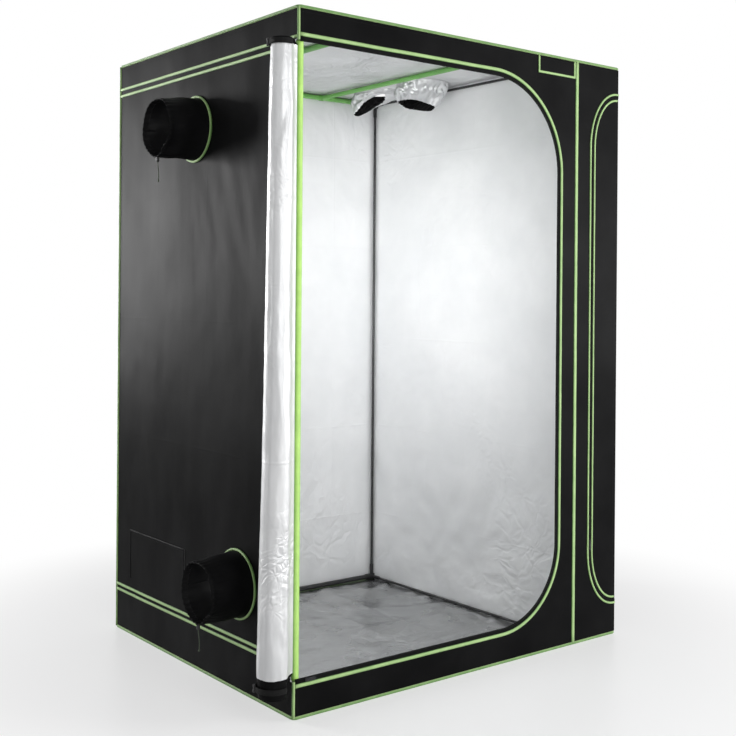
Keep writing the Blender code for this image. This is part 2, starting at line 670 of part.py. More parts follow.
def build_edge_piping():
    """All the piping of the cover: two loops, the upright edges, the seams and the double stripes."""
    meshes = [tube_mesh("roof_loop", loop_path(ROOF_Z), PIPING_RADIUS, closed=True)]
    meshes.append(tube_mesh("floor_loop", loop_path(PIPING_RADIUS), PIPING_RADIUS, closed=True))
    low, high = PIPING_RADIUS + SEAM_END_INSET, ROOF_Z - SEAM_END_INSET
    edges = [(-WALL_X, WALL_Y, low, high), (WALL_X, WALL_Y, low, high),
             (-WALL_X, -WALL_Y, POST_SLEEVE_TOP, high), (-WALL_X, -WALL_Y, low, POST_SLEEVE_BOTTOM)]
    for x, y, start, end in edges:
        meshes.append(tube_mesh("upright_edge", [(x, y, start), (x, y, end)], PIPING_RADIUS))
    for y, out in ((-WALL_Y, -1), (WALL_Y, 1)):
        meshes.append(strip_mesh("seam", (SEAM_X, y, low), (SEAM_X, y, high), (0, out, 0)))
    short = STRIPE_END_FROM_FRONT - TENT_DEPTH / 2
    rear, side = WALL_Y - SEAM_END_INSET, WALL_X - SEAM_END_INSET
    for height in STRIPE_HEIGHTS:
        near = SEAM_END_INSET - WALL_Y if height > POST_SLEEVE_TOP else short
        runs = [((-WALL_X, near), (-WALL_X, rear), (-1, 0, 0)), ((-side, WALL_Y), (side, WALL_Y), (0, 1, 0)),
                ((WALL_X, short), (WALL_X, rear), (1, 0, 0))]
        for start, end, out in runs:
            meshes.append(strip_mesh("stripe", (*start, height), (*end, height), out))
    add_piece("edge_piping", smooth(joined_mesh("edge_piping", meshes)), GREEN_PIPING)


def build_post_sleeve():
    hollow_pole("post_sleeve", (-POST_X, -POST_Y, POST_SLEEVE_BOTTOM), (-POST_X, -POST_Y, POST_SLEEVE_TOP),
                POST_SLEEVE_RADIUS, POST_SLEEVE_CLOTH, BRIGHT_GREEN)


def build_main_zip():
    face = FRONT_FACE - GAP
    band = doorway_path(0) + list(reversed(doorway_path(DOOR_EDGE_INSET)))
    tape = flat_mesh("main_tape", [band], TAPE_THICKNESS, (0, face - TAPE_THICKNESS / 2, 0), FACING_FRONT)
    bead = bead_mesh("main_bead", doorway_path(0), DOOR_BEAD_WIDTH, DOOR_BEAD_HEIGHT,
                     (0, face - DOOR_BEAD_HEIGHT / 2, 0), FACING_FRONT)
    add_piece("main_door_zip", smooth(joined_mesh("main_door_zip", [bead, tape])), GREEN_PIPING)


def build_side_door():
    """The closed side door: a cloth panel with a bead just inside its zip, and the zip's fixed half."""
    face = FRONT_FACE - GAP
    end = FRONT_RIGHT - GAP
    band = side_path(0, end) + list(reversed(side_path(SIDE_EDGE_INSET, end)))
    tape = flat_mesh("side_tape", [band], TAPE_THICKNESS, (0, face - TAPE_THICKNESS / 2, 0), FACING_FRONT)
    bead = bead_mesh("side_bead", side_path(0, end), SIDE_BEAD_WIDTH, SIDE_BEAD_HEIGHT,
                     (0, face - SIDE_BEAD_HEIGHT / 2, 0), FACING_FRONT)
    add_piece("side_door_zip", smooth(joined_mesh("side_door_zip", [bead, tape])), GREEN_PIPING)
    edge = SIDE_EDGE_INSET + ZIP_GAP
    panel = flat_mesh("side_cloth", [side_path(edge, end)], CLOTH, (0, -WALL_Y, 0), FACING_FRONT)
    inner = side_path(edge + SIDE_DOOR_TAPE_WIDTH + SIDE_BEAD_WIDTH / 2, end - SIDE_BEAD_STOP)
    inner_bead = bead_mesh("side_inner_bead", inner, SIDE_BEAD_WIDTH, SIDE_BEAD_HEIGHT,
                           (0, FRONT_FACE - SIDE_BEAD_HEIGHT / 2 + GAP, 0), FACING_FRONT)
    mesh = smooth(joined_mesh("side_door", [panel, inner_bead]))
    hinge = Vector((FRONT_RIGHT, FRONT_FACE, 0))
    mesh.transform(Matrix.Translation(-hinge))
    add_piece("side_door", mesh, BLACK_CANVAS, Matrix.Translation(hinge))


def build_slider(name, width, place, turn, bead_height):
    """A zip slider with its pull, which lies flat along the zip in front of it."""
    body = bmesh.new()
    size = Matrix.Diagonal((SLIDER_LENGTH, width, SLIDER_HEIGHT, 1.0))
    bmesh.ops.create_cube(body, size=1.0, matrix=Matrix.Translation((0, 0, SLIDER_HEIGHT / 2)) @ size)
    bmesh.ops.bevel(body, geom=body.edges, offset=SLIDER_BEVEL, segments=1, affect="EDGES", profile=0.5,
                    material=-1)
    lift = bead_height + GAP
    neck = width * PULL_NECK_SHARE / 2
    half = width / 2
    pull = [(-neck, 0), (neck, 0), (half, -PULL_LENGTH / 3)]
    pull += arc((0, -PULL_LENGTH + half), (half, half), 0, -180, CORNER_STEPS)
    pull.append((-half, -PULL_LENGTH / 3))
    tab = flat_mesh("pull", [pull], PULL_THICKNESS, (0, 0, lift + PULL_THICKNESS / 2), turn)
    bridge = box_mesh("bridge", (-neck, -neck, SLIDER_HEIGHT / 2), (neck, neck, lift + PULL_THICKNESS - GAP))
    mesh = joined_mesh(name, [mesh_from("slider_body", body), bridge, tab])
    add_piece(name, mesh, BLACK_ZIP, place)


def build_sliders():
    face = FRONT_FACE - GAP - TAPE_THICKNESS - GAP
    x = MAIN_SLIDER_FROM_LEFT - TENT_WIDTH / 2
    z = DOOR_BOTTOM + DOOR_BEAD_WIDTH / 2 + DOOR_TAPE_WIDTH / 2
    upright = Matrix.Rotation(math.radians(90), 4, "Z")
    build_slider("main_zip_slider", MAIN_SLIDER_WIDTH, Matrix.Translation((x, face, z)) @ FACING_FRONT,
                 upright, DOOR_BEAD_HEIGHT)
    x = SIDE_LEFT_X + SIDE_BEAD_WIDTH / 2 + SIDE_TAPE_WIDTH / 2
    build_slider("side_zip_slider", SIDE_SLIDER_WIDTH,
                 Matrix.Translation((x, face, SIDE_SLIDER_FROM_FLOOR)) @ FACING_FRONT @ upright,
                 upright.inverted(), SIDE_BEAD_HEIGHT)


def roll_place(height):
    """Middle and radius of the rolled door at a height: it is slimmer at its top and in its hem."""
    share = (height - ROLL_BOTTOM) / (ROLL_TOP - ROLL_BOTTOM)
    radius = ROLL_BOTTOM_RADIUS + (ROLL_TOP_RADIUS - ROLL_BOTTOM_RADIUS) * share
    x = -TENT_WIDTH / 2 - ROLL_OFF_WALL - radius
    hem = max(0.0, 1 - (height - ROLL_BOTTOM) / ROLL_HEM_HEIGHT)
    radius += (ROLL_HEM_RADIUS - ROLL_BOTTOM_RADIUS) * hem
    return Vector((x, ROLL_FROM_FRONT - TENT_DEPTH / 2)), radius


def roll_section(height):
    """One turn of the wound cloth; its outer end overlaps the start by one layer."""
    middle, radius = roll_place(height)
    points = []
    for step in range(ROLL_SIDES + 1):
        share = step / ROLL_SIDES
        angle = math.radians(ROLL_START_DEGREES + ROLL_SWEEP_DEGREES * share)
        fade = math.sin(math.pi * share)
        fold = FOLD_MEAN_SHARE * (1 + math.sin(2 * math.pi * height / ROLL_FOLD_PITCH + 3 * angle))
        reach = radius - ROLL_LAYER * (1 - share) - ROLL_FOLD_DEPTH * fold * fade
        points.append(middle + Vector((math.cos(angle), math.sin(angle))) * reach)
    return points


def prism_mesh(name, sections):
    """Rings of points, each with its own height, skinned into a closed solid."""
    shape = bmesh.new()
    rings = [[shape.verts.new((x, y, height)) for x, y in points] for height, points in sections]
    for lower, upper in zip(rings, rings[1:]):
        for index in range(len(lower)):
            after = (index + 1) % len(lower)
            shape.faces.new((lower[index], lower[after], upper[after], upper[index]))
    shape.faces.new(list(reversed(rings[0])))
    shape.faces.new(rings[-1])
    return mesh_from(name, shape)


def tail_section(height):
    """The flat cloth between the roll's outer end and the post sleeve."""
    middle, radius = roll_place(height)
    angle = math.radians(ROLL_START_DEGREES + ROLL_SWEEP_DEGREES)
    start = middle + Vector((math.cos(angle), math.sin(angle))) * (radius - 2 * ROLL_TAIL_THICKNESS)
    angle = math.radians(TAIL_DEGREES)
    reach = POST_SLEEVE_RADIUS + GAP
    tip = Vector((-POST_X, -POST_Y)) + Vector((math.cos(angle), math.sin(angle))) * reach
    across = (tip - start).normalized().orthogonal() * ROLL_TAIL_THICKNESS
    return [start, tip, tip + across, start + across]


def build_rolled_door():
    heights = [ROLL_BOTTOM, ROLL_BOTTOM + ROLL_HEM_HEIGHT]
    rise = ROLL_TOP - heights[-1]
    heights += [heights[-1] + rise * (step + 1) / ROLL_STEPS for step in range(ROLL_STEPS)]
    body = prism_mesh("roll_body", [(height, roll_section(height)) for height in heights])
    ends = (DOOR_BOTTOM + DOOR_EDGE_INSET + ROLL_TAIL_MARGIN, DOOR_TOP - DOOR_EDGE_INSET - ROLL_TAIL_MARGIN)
    tail = prism_mesh("roll_tail", [(height, tail_section(height)) for height in ends])
    cuts = []
    for start, inward in ((ROLL_BOTTOM, 1), (ROLL_TOP, -1)):
        (x, y), _ = roll_place(start)
        cuts.append(rod_mesh("roll_core", ROLL_CORE_RADIUS, (x, y, start - CUT_OVERRUN * inward),
                             (x, y, start + ROLL_CORE_DEPTH * inward), ARM_SIDES))
    mesh = smooth(joined_mesh("rolled_main_door", [body, tail], cuts))
    hinge = Vector((-POST_X, -POST_Y, 0))
    mesh.transform(Matrix.Translation(-hinge))
    add_piece("rolled_main_door", mesh, SILVER_LINING, Matrix.Translation(hinge))
    build_roll_ties(hinge)


def build_roll_ties(hinge):
    """Straps round the roll, open where its tail leaves it, each with a toggle."""
    heights = {"roll_tie_top": ROLL_TOP - TIE_TOP_FROM_ROLL_TOP,
               "roll_tie_bottom": ROLL_BOTTOM + TIE_BOTTOM_FROM_ROLL_BOTTOM}
    first, last = TIE_ARC_DEGREES
    for name, height in heights.items():
        middle = roll_place(height)[0]
        widest = max(roll_place(height + side * TIE_HEIGHT / 2)[1] for side in (-1, 1))
        inner = widest + GAP
        outer = inner + TIE_THICKNESS
        band = arc(middle, (outer, outer), first, last, ROLL_SIDES)
        band += reversed(arc(middle, (inner, inner), first, last, ROLL_SIDES))
        strap = flat_mesh(name, [band], TIE_HEIGHT, (0, 0, height), Matrix.Identity(4))
        angle = math.radians(TOGGLE_DEGREES)
        seat = middle + Vector((math.cos(angle), math.sin(angle))) * (outer + TOGGLE_RADIUS / 2)
        toggle = rod_mesh("toggle", TOGGLE_RADIUS, (*seat, height - TOGGLE_LENGTH / 2),
                          (*seat, height + TOGGLE_LENGTH / 2), POLE_SIDES)
        mesh = smooth(joined_mesh(name, [strap, toggle]))
        mesh.transform(Matrix.Translation(-hinge))
        add_piece(name, mesh, BLACK_CANVAS, Matrix.Translation(hinge))


def bent_grid(name, columns, rows, place):
    """A grid closed into a tube, its points set by place(share round, share along)."""
    shape = bmesh.new()
    bmesh.ops.create_grid(shape, x_segments=columns, y_segments=rows, size=0.5)
    for point in shape.verts:
        point.co = place(point.co.x + 0.5, point.co.y + 0.5)
    bmesh.ops.remove_doubles(shape, verts=shape.verts, dist=WELD)
    mesh = bpy.data.meshes.new(name)
    bmesh.ops.recalc_face_normals(shape, faces=shape.faces)
    shape.to_mesh(mesh)
    shape.free()
    return mesh


def thicken(piece, thickness):
    wall = piece.modifiers.new("cloth", "SOLIDIFY")
    wall.thickness = thickness
    wall.use_even_offset = True


def side_sleeve_point(round_share, along_share):
    """A sleeve that tapers and ripples towards its hem and droops a little; its axis is -X."""
    angle = 2 * math.pi * round_share
    radius = VENT_SLEEVE_RADIUS + (VENT_MOUTH_RADIUS - VENT_SLEEVE_RADIUS) * along_share
    radius += VENT_RIPPLE * along_share ** 2 * math.cos(VENT_FOLDS * (angle + math.pi / 2))
    if along_share > 1 - VENT_HEM / VENT_LENGTH:
        radius += VENT_HEM_BULGE
    along = -VENT_LENGTH * along_share + HALF_CLOTH
    drop = VENT_DROOP * along_share ** 2
    return Vector((along, radius * math.cos(angle), radius * math.sin(angle) - drop))


def build_side_vents():
    ring_radius = VENT_RADIUS + VENT_RING_RADIUS
    for name, (y, z) in LEFT_VENTS.items():
        place = Matrix.Translation((-WALL_X, y, z))
        mesh = smooth(bent_grid(f"{name}_vent_sleeve", VENT_SIDES, VENT_STEPS, side_sleeve_point))
        thicken(add_piece(f"{name}_vent_sleeve", mesh, BLACK_CANVAS, place), CLOTH)
        path = [(-HALF_CLOTH - GAP - VENT_RING_RADIUS, a, b) for a, b in circle((0, 0), ring_radius)]
        ring = smooth(tube_mesh(f"{name}_vent_ring", path, VENT_RING_RADIUS, closed=True, resolution=1))
        add_piece(f"{name}_vent_ring", ring, GREEN_PIPING, place)
        build_drawcord(name, Vector((-WALL_X, y, z)))


def build_drawcord(name, base):
    """A cord lock under the mouth's hem, and the cord's loose end below it."""
    mouth = VENT_MOUTH_RADIUS + VENT_RIPPLE + VENT_HEM_BULGE
    x = HALF_CLOTH - VENT_LENGTH + CORD_LOCK_FROM_MOUTH
    top = base + Vector((x, 0, -mouth - VENT_DROOP - GAP))
    foot = top - Vector((0, 0, CORD_LOCK_HEIGHT))
    mesh = rod_mesh(f"{name}_cord_lock", CORD_LOCK_RADIUS, foot - top, (0, 0, 0), POLE_SIDES)
    lock = add_piece(f"{name}_cord_lock", smooth(mesh), BLACK_PLASTIC, Matrix.Translation(top))
    bevel = lock.modifiers.new("rounded", "BEVEL")
    bevel.width = CORD_LOCK_BEVEL
    bevel.segments = 1
    cord = tube_curve(f"{name}_drawcord", CORD_DROP_ROUTE, CORD_RADIUS)
    add_piece(f"{name}_drawcord", cord, CORD_GREY, Matrix.Translation(foot - Vector((0, 0, GAP))))


def roof_vent_place(vent):
    return SEAM_X - vent["from_seam"], TENT_DEPTH / 2 - vent["from_rear"]


def roof_sleeve_shape(vent):
    """A sleeve pushed down inside: round at the roof, gathered to a flat slanting mouth."""
    turn = math.radians(vent["turn"])

    def place(round_share, along_share):
        angle = 2 * math.pi * round_share
        ease = along_share ** 1.5
        gather = VENT_RIPPLE * ease * math.cos(VENT_FOLDS * angle)
        length = VENT_SLEEVE_RADIUS + (vent["half_length"] - VENT_SLEEVE_RADIUS) * ease + gather
        width = VENT_SLEEVE_RADIUS + (vent["half_width"] - VENT_SLEEVE_RADIUS) * ease + gather
        a, b = length * math.cos(angle - turn), width * math.sin(angle - turn)
        x = a * math.cos(turn) - b * math.sin(turn) + vent["shift"][0] * ease
        y = a * math.sin(turn) + b * math.cos(turn) + vent["shift"][1] * ease
        slant = vent["tilt"] * ease * math.cos(angle - turn)
        return Vector((x, y, HALF_CLOTH - vent["drop"] * along_share + slant))

    return place


def build_roof_vents():
    for name, vent in ROOF_VENTS.items():
        x, y = roof_vent_place(vent)
        shape = bent_grid(f"roof_vent_sleeve_{name}", VENT_SIDES, VENT_STEPS, roof_sleeve_shape(vent))
        place = Matrix.Translation((x, y, ROOF_Z))
        thicken(add_piece(f"roof_vent_sleeve_{name}", smooth(shape), SILVER_LINING, place), CLOTH)


def three_sided_rim(left, right, closed, opened, width):
    """A flat rim along both sides and one end; its width is negative when the closed end is the lower."""
    side = abs(width)
    return [(left, opened), (left, closed), (right, closed), (right, opened), (right - side, opened),
            (right - side, closed - width), (left + side, closed - width), (left + side, opened)]


def pushed_out(shape, faces, rise):
    pulled = bmesh.ops.extrude_face_region(shape, geom=faces)["geom"]
    moved = [item for item in pulled if isinstance(item, bmesh.types.BMVert)]
    bmesh.ops.translate(shape, verts=moved, vec=(0, 0, rise))
    return [item for item in pulled if isinstance(item, bmesh.types.BMFace)]


def rimmed_panel_mesh(name, rim, thickness, rim_height):
    """A flat panel that fills a three-sided rim, with the rim raised from it."""
    shape = bmesh.new()
    points = [shape.verts.new((x, y, 0)) for x, y in rim]
    faces = [shape.faces.new(points), shape.faces.new(list(reversed(points[4:])))]
    outer = pushed_out(shape, faces, thickness)
    inside = [face for face in outer if len(face.verts) == len(rim)]
    pushed_out(shape, inside, rim_height)
    bmesh.ops.delete(shape, geom=inside, context="FACES_ONLY")
    return mesh_from(name, shape)


def build_vent_window():
    near, far = WINDOW_NEAR_Y, WINDOW_FAR_Y
    inset = WINDOW_BORDER - SCREEN_BORDER
    low = Vector((near + inset, WINDOW_BOTTOM + inset))
    high = Vector((far - inset, WINDOW_TOP - inset))
    start = low + Vector((SCREEN_BORDER, SCREEN_BORDER))
    span = high - low - 2 * Vector((SCREEN_BORDER, SCREEN_BORDER))
    cell = Vector(((span.x + SCREEN_THREAD) / SCREEN_COLUMNS, (span.y + SCREEN_THREAD) / SCREEN_ROWS))
    outlines = [rectangle(low, high)]
    for column in range(SCREEN_COLUMNS):
        for row in range(SCREEN_ROWS):
            corner = start + Vector((cell.x * column, cell.y * row))
            outlines.append(rectangle(corner, corner + cell - Vector((SCREEN_THREAD, SCREEN_THREAD))))
    flat_panel("vent_screen", outlines, TAPE_THICKNESS,
               (-WALL_X + HALF_CLOTH + GAP + TAPE_THICKNESS / 2, 0, 0), FACING_SIDE, BLACK_ZIP)
    hinge = Vector((-WALL_X - HALF_CLOTH - GAP - CLOTH - FLAP_HEM_HEIGHT, (near + far) / 2, WINDOW_BOTTOM))
    half = (far - near) / 2
    hem = three_sided_rim(-half, half, WINDOW_TOP - WINDOW_BOTTOM, 0, FLAP_HEM_WIDTH)
    mesh = rimmed_panel_mesh("vent_flap", hem, -CLOTH, -FLAP_HEM_HEIGHT)
    mesh.transform(Matrix.Translation((CLOTH + FLAP_HEM_HEIGHT, 0, 0)) @ FACING_SIDE)
    add_piece("vent_flap", mesh, BLACK_CANVAS, Matrix.Translation(hinge))


def build_label_pocket():
    left, right = SEAM_X - POCKET_LEFT_FROM_SEAM, SEAM_X - POCKET_RIGHT_FROM_SEAM
    rim = three_sided_rim(left, right, WALL_TOP - POCKET_HEIGHT, WALL_TOP, -POCKET_RIM_WIDTH)
    mesh = rimmed_panel_mesh("label_pocket", rim, POCKET_THICKNESS, POCKET_RIM_HEIGHT)
    add_piece("label_pocket", mesh, BLACK_CANVAS, Matrix.Translation((0, FRONT_FACE - GAP, 0)) @ FACING_FRONT)


build_frame()
build_hanging_bars()
build_cover()
build_edge_piping()
build_post_sleeve()
build_main_zip()
build_side_door()
build_sliders()
build_rolled_door()
build_side_vents()
build_roof_vents()
build_vent_window()
build_label_pocket()
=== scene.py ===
"""An indoor grow tent: a black canvas cover lined with silver film, sewn with green piping over a
frame of steel poles. The main door is rolled up at the near corner and the side door is zipped shut.
Metres; the tent is centred on the floor, its front faces -Y and +Z is up.
"""
import math

import bmesh
import bpy
from mathutils import Matrix, Vector, kdtree, noise
from mathutils.bvhtree import BVHTree


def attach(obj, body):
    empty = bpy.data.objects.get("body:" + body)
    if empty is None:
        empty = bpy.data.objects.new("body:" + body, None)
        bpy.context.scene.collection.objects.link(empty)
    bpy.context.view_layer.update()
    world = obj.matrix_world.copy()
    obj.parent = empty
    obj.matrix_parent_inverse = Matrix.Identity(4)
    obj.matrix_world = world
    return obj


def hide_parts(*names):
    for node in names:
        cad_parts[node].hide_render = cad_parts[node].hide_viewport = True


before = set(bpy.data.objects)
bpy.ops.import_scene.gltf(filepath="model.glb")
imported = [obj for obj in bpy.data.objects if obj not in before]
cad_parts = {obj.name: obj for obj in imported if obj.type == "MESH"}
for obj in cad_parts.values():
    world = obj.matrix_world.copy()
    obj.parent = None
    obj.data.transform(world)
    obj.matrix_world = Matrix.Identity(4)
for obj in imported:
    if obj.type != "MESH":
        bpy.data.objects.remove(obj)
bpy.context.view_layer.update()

# The camera stands in front of the near left corner at a little over half the tent's height and
# looks level, so the uprights stay upright; the shift frames the tent as the photograph does.
CAMERA_PLACE = (-2.506, -3.204, 1.206)
CAMERA_TURN = math.radians(-38.08)
CAMERA_ROLL = math.radians(0.45)
LENS = 55.16
VIEW_SHIFT = -0.0986


def new_object(name, data):
    made = bpy.data.objects.new(name, data)
    bpy.context.scene.collection.objects.link(made)
    return made


camera = new_object("camera", bpy.data.cameras.new("camera"))
camera.matrix_world = (Matrix.Translation(CAMERA_PLACE) @ Matrix.Rotation(CAMERA_TURN, 4, "Z")
                       @ Matrix.Rotation(math.radians(90), 4, "X") @ Matrix.Rotation(CAMERA_ROLL, 4, "Z"))
camera.data.lens = LENS
camera.data.shift_y = VIEW_SHIFT
bpy.context.scene.camera = camera


# The drawcords of the two left sleeves. Each is a thin braided cord that comes out of a cord lock
# under the sleeve's hem, hangs a few centimetres and ends in a knot.
CORD_RADIUS = 0.00125
CORD_LOCK_FOOT = 0.1151
CORD_X = -0.8319
CORD_ROUTE = (
    (0.0000, 0.0000, 0.0000), (0.0002, 0.0000, -0.0060), (0.0008, -0.0004, -0.0130),
    (0.0015, -0.0014, -0.0210), (0.0018, -0.0030, -0.0290), (0.0014, -0.0048, -0.0370),
    (0.0006, -0.0062, -0.0450), (0.0000, -0.0068, -0.0530), (-0.0002, -0.0066, -0.0610),
)
KNOT_RADIUS = 0.0028
LEFT_VENTS = {"upper": (0.017, 1.739), "lower": (-0.263, 0.326)}


class Value:
    """A socket among nodes, so that patterns are written as sums."""

    def __init__(self, nodes, socket):
        self.nodes = nodes
        self.socket = socket

    def maths(self, operation, *values):
        return self.nodes.node("ShaderNodeMath", {"operation": operation}, dict(enumerate(values)))

    def __add__(self, other):
        return self.maths("ADD", self, other)

    def __sub__(self, other):
        return self.maths("SUBTRACT", self, other)

    def __rsub__(self, other):
        return self.maths("SUBTRACT", other, self)

    def __mul__(self, other):
        return self.maths("MULTIPLY", self, other)

    def __lt__(self, other):
        return self.maths("LESS_THAN", self, other)

    __radd__ = __add__
    __rmul__ = __mul__

    def greater(self, other):
        return self.maths("MAXIMUM", self, other)

    def sine(self):
        return self.maths("SINE", self)

    def without_sign(self):
        return self.maths("ABSOLUTE", self)

    def to_nearest(self, pitch):
        """Distance to the nearest multiple of a pitch."""
        return self.maths("PINGPONG", self, pitch / 2)

    def eased(self, low, high, start=0.0, end=1.0):
        """A smooth step from start to end while the value goes from low to high."""
        sockets = {"Value": self, "From Min": low, "From Max": high, "To Min": start, "To Max": end}
        return self.nodes.node("ShaderNodeMapRange", {"interpolation_type": "SMOOTHSTEP"}, sockets)


class Nodes:
    """The nodes of a material or of the world. A value that goes into a socket is a number or a link."""

    def __init__(self, owner):
        owner.use_nodes = True
        self.tree = owner.node_tree

    def feed(self, socket, value):
        if isinstance(value, Value):
            self.tree.links.new(value.socket, socket)
        else:
            socket.default_value = value

    def node(self, kind, settings, sockets, output=0):
        made = self.tree.nodes.new(kind)
        for name, value in settings.items():
            setattr(made, name, value)
        for key, value in sockets.items():
            self.feed(made.inputs[key], value)
        return Value(self, made.outputs[output])


class Finish(Nodes):
    """A material. Fixed numbers go on the shader's own sockets and patterns are linked to them."""

    def __init__(self, name, **fixed):
        self.material = bpy.data.materials.new(name)
        super().__init__(self.material)
        self.shader = self.tree.nodes["Principled BSDF"]
        self.give(**fixed)

    def give(self, **values):
        for name, value in values.items():
            self.feed(self.shader.inputs[name.replace("_", " ")], value)

    def space(self, source):
        """Coordinates: UV for a pattern that follows the cloth, Object for one that runs through it."""
        return self.node("ShaderNodeTexCoord", {}, {}, source)

    def axes(self, vector):
        split = self.node("ShaderNodeSeparateXYZ", {}, {0: vector}).socket.node
        return [Value(self, output) for output in split.outputs]

    def scaled(self, vector, scale):
        return self.node("ShaderNodeVectorMath", {"operation": "MULTIPLY"}, {0: vector, 1: scale})

    def mottle(self, vector, scale, detail=2.0, roughness=0.5, output=0):
        sockets = {"Vector": vector, "Scale": scale, "Detail": detail, "Roughness": roughness}
        return self.node("ShaderNodeTexNoise", {}, sockets, output)

    def cells(self, vector, scale):
        """Distance to the nearest edge of a field of cells, for creases."""
        return self.node("ShaderNodeTexVoronoi", {"feature": "DISTANCE_TO_EDGE"},
                         {"Vector": vector, "Scale": scale})

    def mixed(self, share, first, second):
        first, second = ((*colour, 1) if isinstance(colour, tuple) else colour for colour in (first, second))
        return self.node("ShaderNodeMix", {"data_type": "RGBA"}, {0: share, 6: first, 7: second}, output=2)

    def raised(self, height, depth, under=None):
        """Bump of a height from 0 to 1 that stands depth metres proud, laid over another bump."""
        sockets = {"Height": height, "Distance": depth}
        if under:
            sockets["Normal"] = under
        return self.node("ShaderNodeBump", {}, sockets)


TURN = 2 * math.pi


def shaded(colour, share):
    return tuple(share * channel for channel in colour)


def wave(value, pitch):
    """A sine from -1 to 1 that repeats every pitch metres."""
    return (value * (TURN / pitch)).sine()


def weave(across, along, pitch):
    """The over and under of a plain weave, from 0 to 1."""
    return wave(across, pitch) * wave(along, pitch) * 0.5 + 0.5


def new_mesh(name, shape, finishes=()):
    """Turns a bmesh into a mesh."""
    mesh = bpy.data.meshes.new(name)
    shape.to_mesh(mesh)
    shape.free()
    for finish in finishes:
        mesh.materials.append(finish.material)
    return mesh


def add_piece(name, shape, finishes, body, replaced=()):
    """Turns a bmesh into a piece that rides on a body and stands for CAD nodes."""
    piece = new_object(name, new_mesh(name, shape, finishes))
    piece.data.shade_smooth()
    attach(piece, body)
    if replaced:
        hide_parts(*replaced)
    return piece


def thicken(piece, thickness, offset=0.0, back=0):
    """Gives a sheet its thickness. back is how far on in its list the other face's finish is."""
    wall = piece.modifiers.new("cloth", "SOLIDIFY")
    wall.thickness = thickness
    wall.offset = offset
    wall.material_offset = back


cord_finish = Finish("braided cord", Roughness=0.8, Sheen_Weight=0.05)
speckle = cord_finish.mottle(cord_finish.space("Object"), 900.0)
cord_finish.give(Base_Color=cord_finish.mixed(speckle, (0.014, 0.022, 0.012), (0.085, 0.115, 0.070)),
                 Normal=cord_finish.raised(speckle, 0.0004))


def length_of(points):
    return sum((Vector(b) - Vector(a)).length for a, b in zip(points, points[1:]))


def knot(name, place):
    """An overhand knot drawn tight: a ball drawn out lengthwise and twisted into three strands."""
    strands, twist, depth, drawn_out = 3, 900, 0.14, 1.25
    shape = bmesh.new()
    bmesh.ops.create_uvsphere(shape, u_segments=18, v_segments=12, radius=KNOT_RADIUS)
    for point in shape.verts:
        x, y, z = point.co
        strand = 1 + depth * math.cos(strands * math.atan2(y, x) + twist * z)
        point.co = Vector((x * strand, y * strand, z * drawn_out)) + place
    return add_piece(name, shape, [cord_finish], "tent")


for end, (y, z) in LEFT_VENTS.items():
    start = Vector((CORD_X, y, z - CORD_LOCK_FOOT))
    route = [start + Vector(step) for step in CORD_ROUTE]
    line = bpy.data.curves.new(f"{end}_cord", "CURVE")
    line.dimensions = "3D"
    line.bevel_depth = CORD_RADIUS
    line.bevel_resolution = 3
    line.use_fill_caps = True
    strand = line.splines.new("NURBS")
    strand.points.add(len(route) - 1)
    for point, place in zip(strand.points, route):
        point.co = (*place, 1)
    strand.order_u = 3
    strand.use_endpoint_u = True
    strand.resolution_u = 6
    line.materials.append(cord_finish.material)
    cord = new_object(f"{end}_cord", line)
    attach(cord, "tent")
    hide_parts(f"{end}_drawcord")
    tied = knot(f"{end}_cord_knot", route[-1])
    length_of(route)


# The frame: steel tubes with a powder coat, green in the main chamber's roof, plugged into moulded
# three-way corners and tees. The CAD solids are the real shape, so they only get their finishes.
GREEN_COAT = (0.17, 0.47, 0.10)
BLACK_COAT = (0.012, 0.012, 0.013)
GREEN_TUBES = ("top_rail_", "hanging_bar_")
BLACK_TUBES = ("post_front", "post_rear", "bottom_rail_", "partition_post_", "partition_rail_")
MOULDINGS = ("connector_", "tee_", "upper_cord_lock", "lower_cord_lock")
ZIP_METAL = ("main_zip_slider", "side_zip_slider")


def powder_coat(name, colour, roughness):
    """Baked powder: a fine orange-peel skin with a few duller patches."""
    coat = Finish(name, Specular_IOR_Level=0.5, Coat_Weight=0.15, Coat_Roughness=0.25)
    place = coat.space("Object")
    peel = coat.mottle(place, 700.0)
    patches = coat.mottle(place, 9.0, 4.0)
    coat.give(Base_Color=coat.mixed(patches, shaded(colour, 0.72), colour),
              Roughness=patches * 0.16 + roughness, Normal=coat.raised(peel, 0.00035))
    return coat


green_coat = powder_coat("green powder coat", GREEN_COAT, 0.34)
black_coat = powder_coat("black powder coat", BLACK_COAT, 0.30)
slider_coat = powder_coat("black zip metal", (0.02, 0.02, 0.022), 0.26)
slider_coat.give(Metallic=0.6)

moulded = Finish("moulded black nylon", Specular_IOR_Level=0.45)
where = moulded.space("Object")
grain = moulded.mottle(where, 1300.0, 3.0)
flow = moulded.mottle(where, 22.0, 3.0)
moulded.give(Base_Color=moulded.mixed(flow, (0.010, 0.010, 0.010), (0.021, 0.021, 0.022)),
             Roughness=flow * 0.2 + 0.4, Normal=moulded.raised(grain, 0.0003))

for starts, finish in ((GREEN_TUBES, green_coat), (BLACK_TUBES, black_coat), (MOULDINGS, moulded),
                       (ZIP_METAL, slider_coat)):
    for name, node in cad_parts.items():
        if name.startswith(starts):
            for slot in node.material_slots:
                slot.material = finish.material


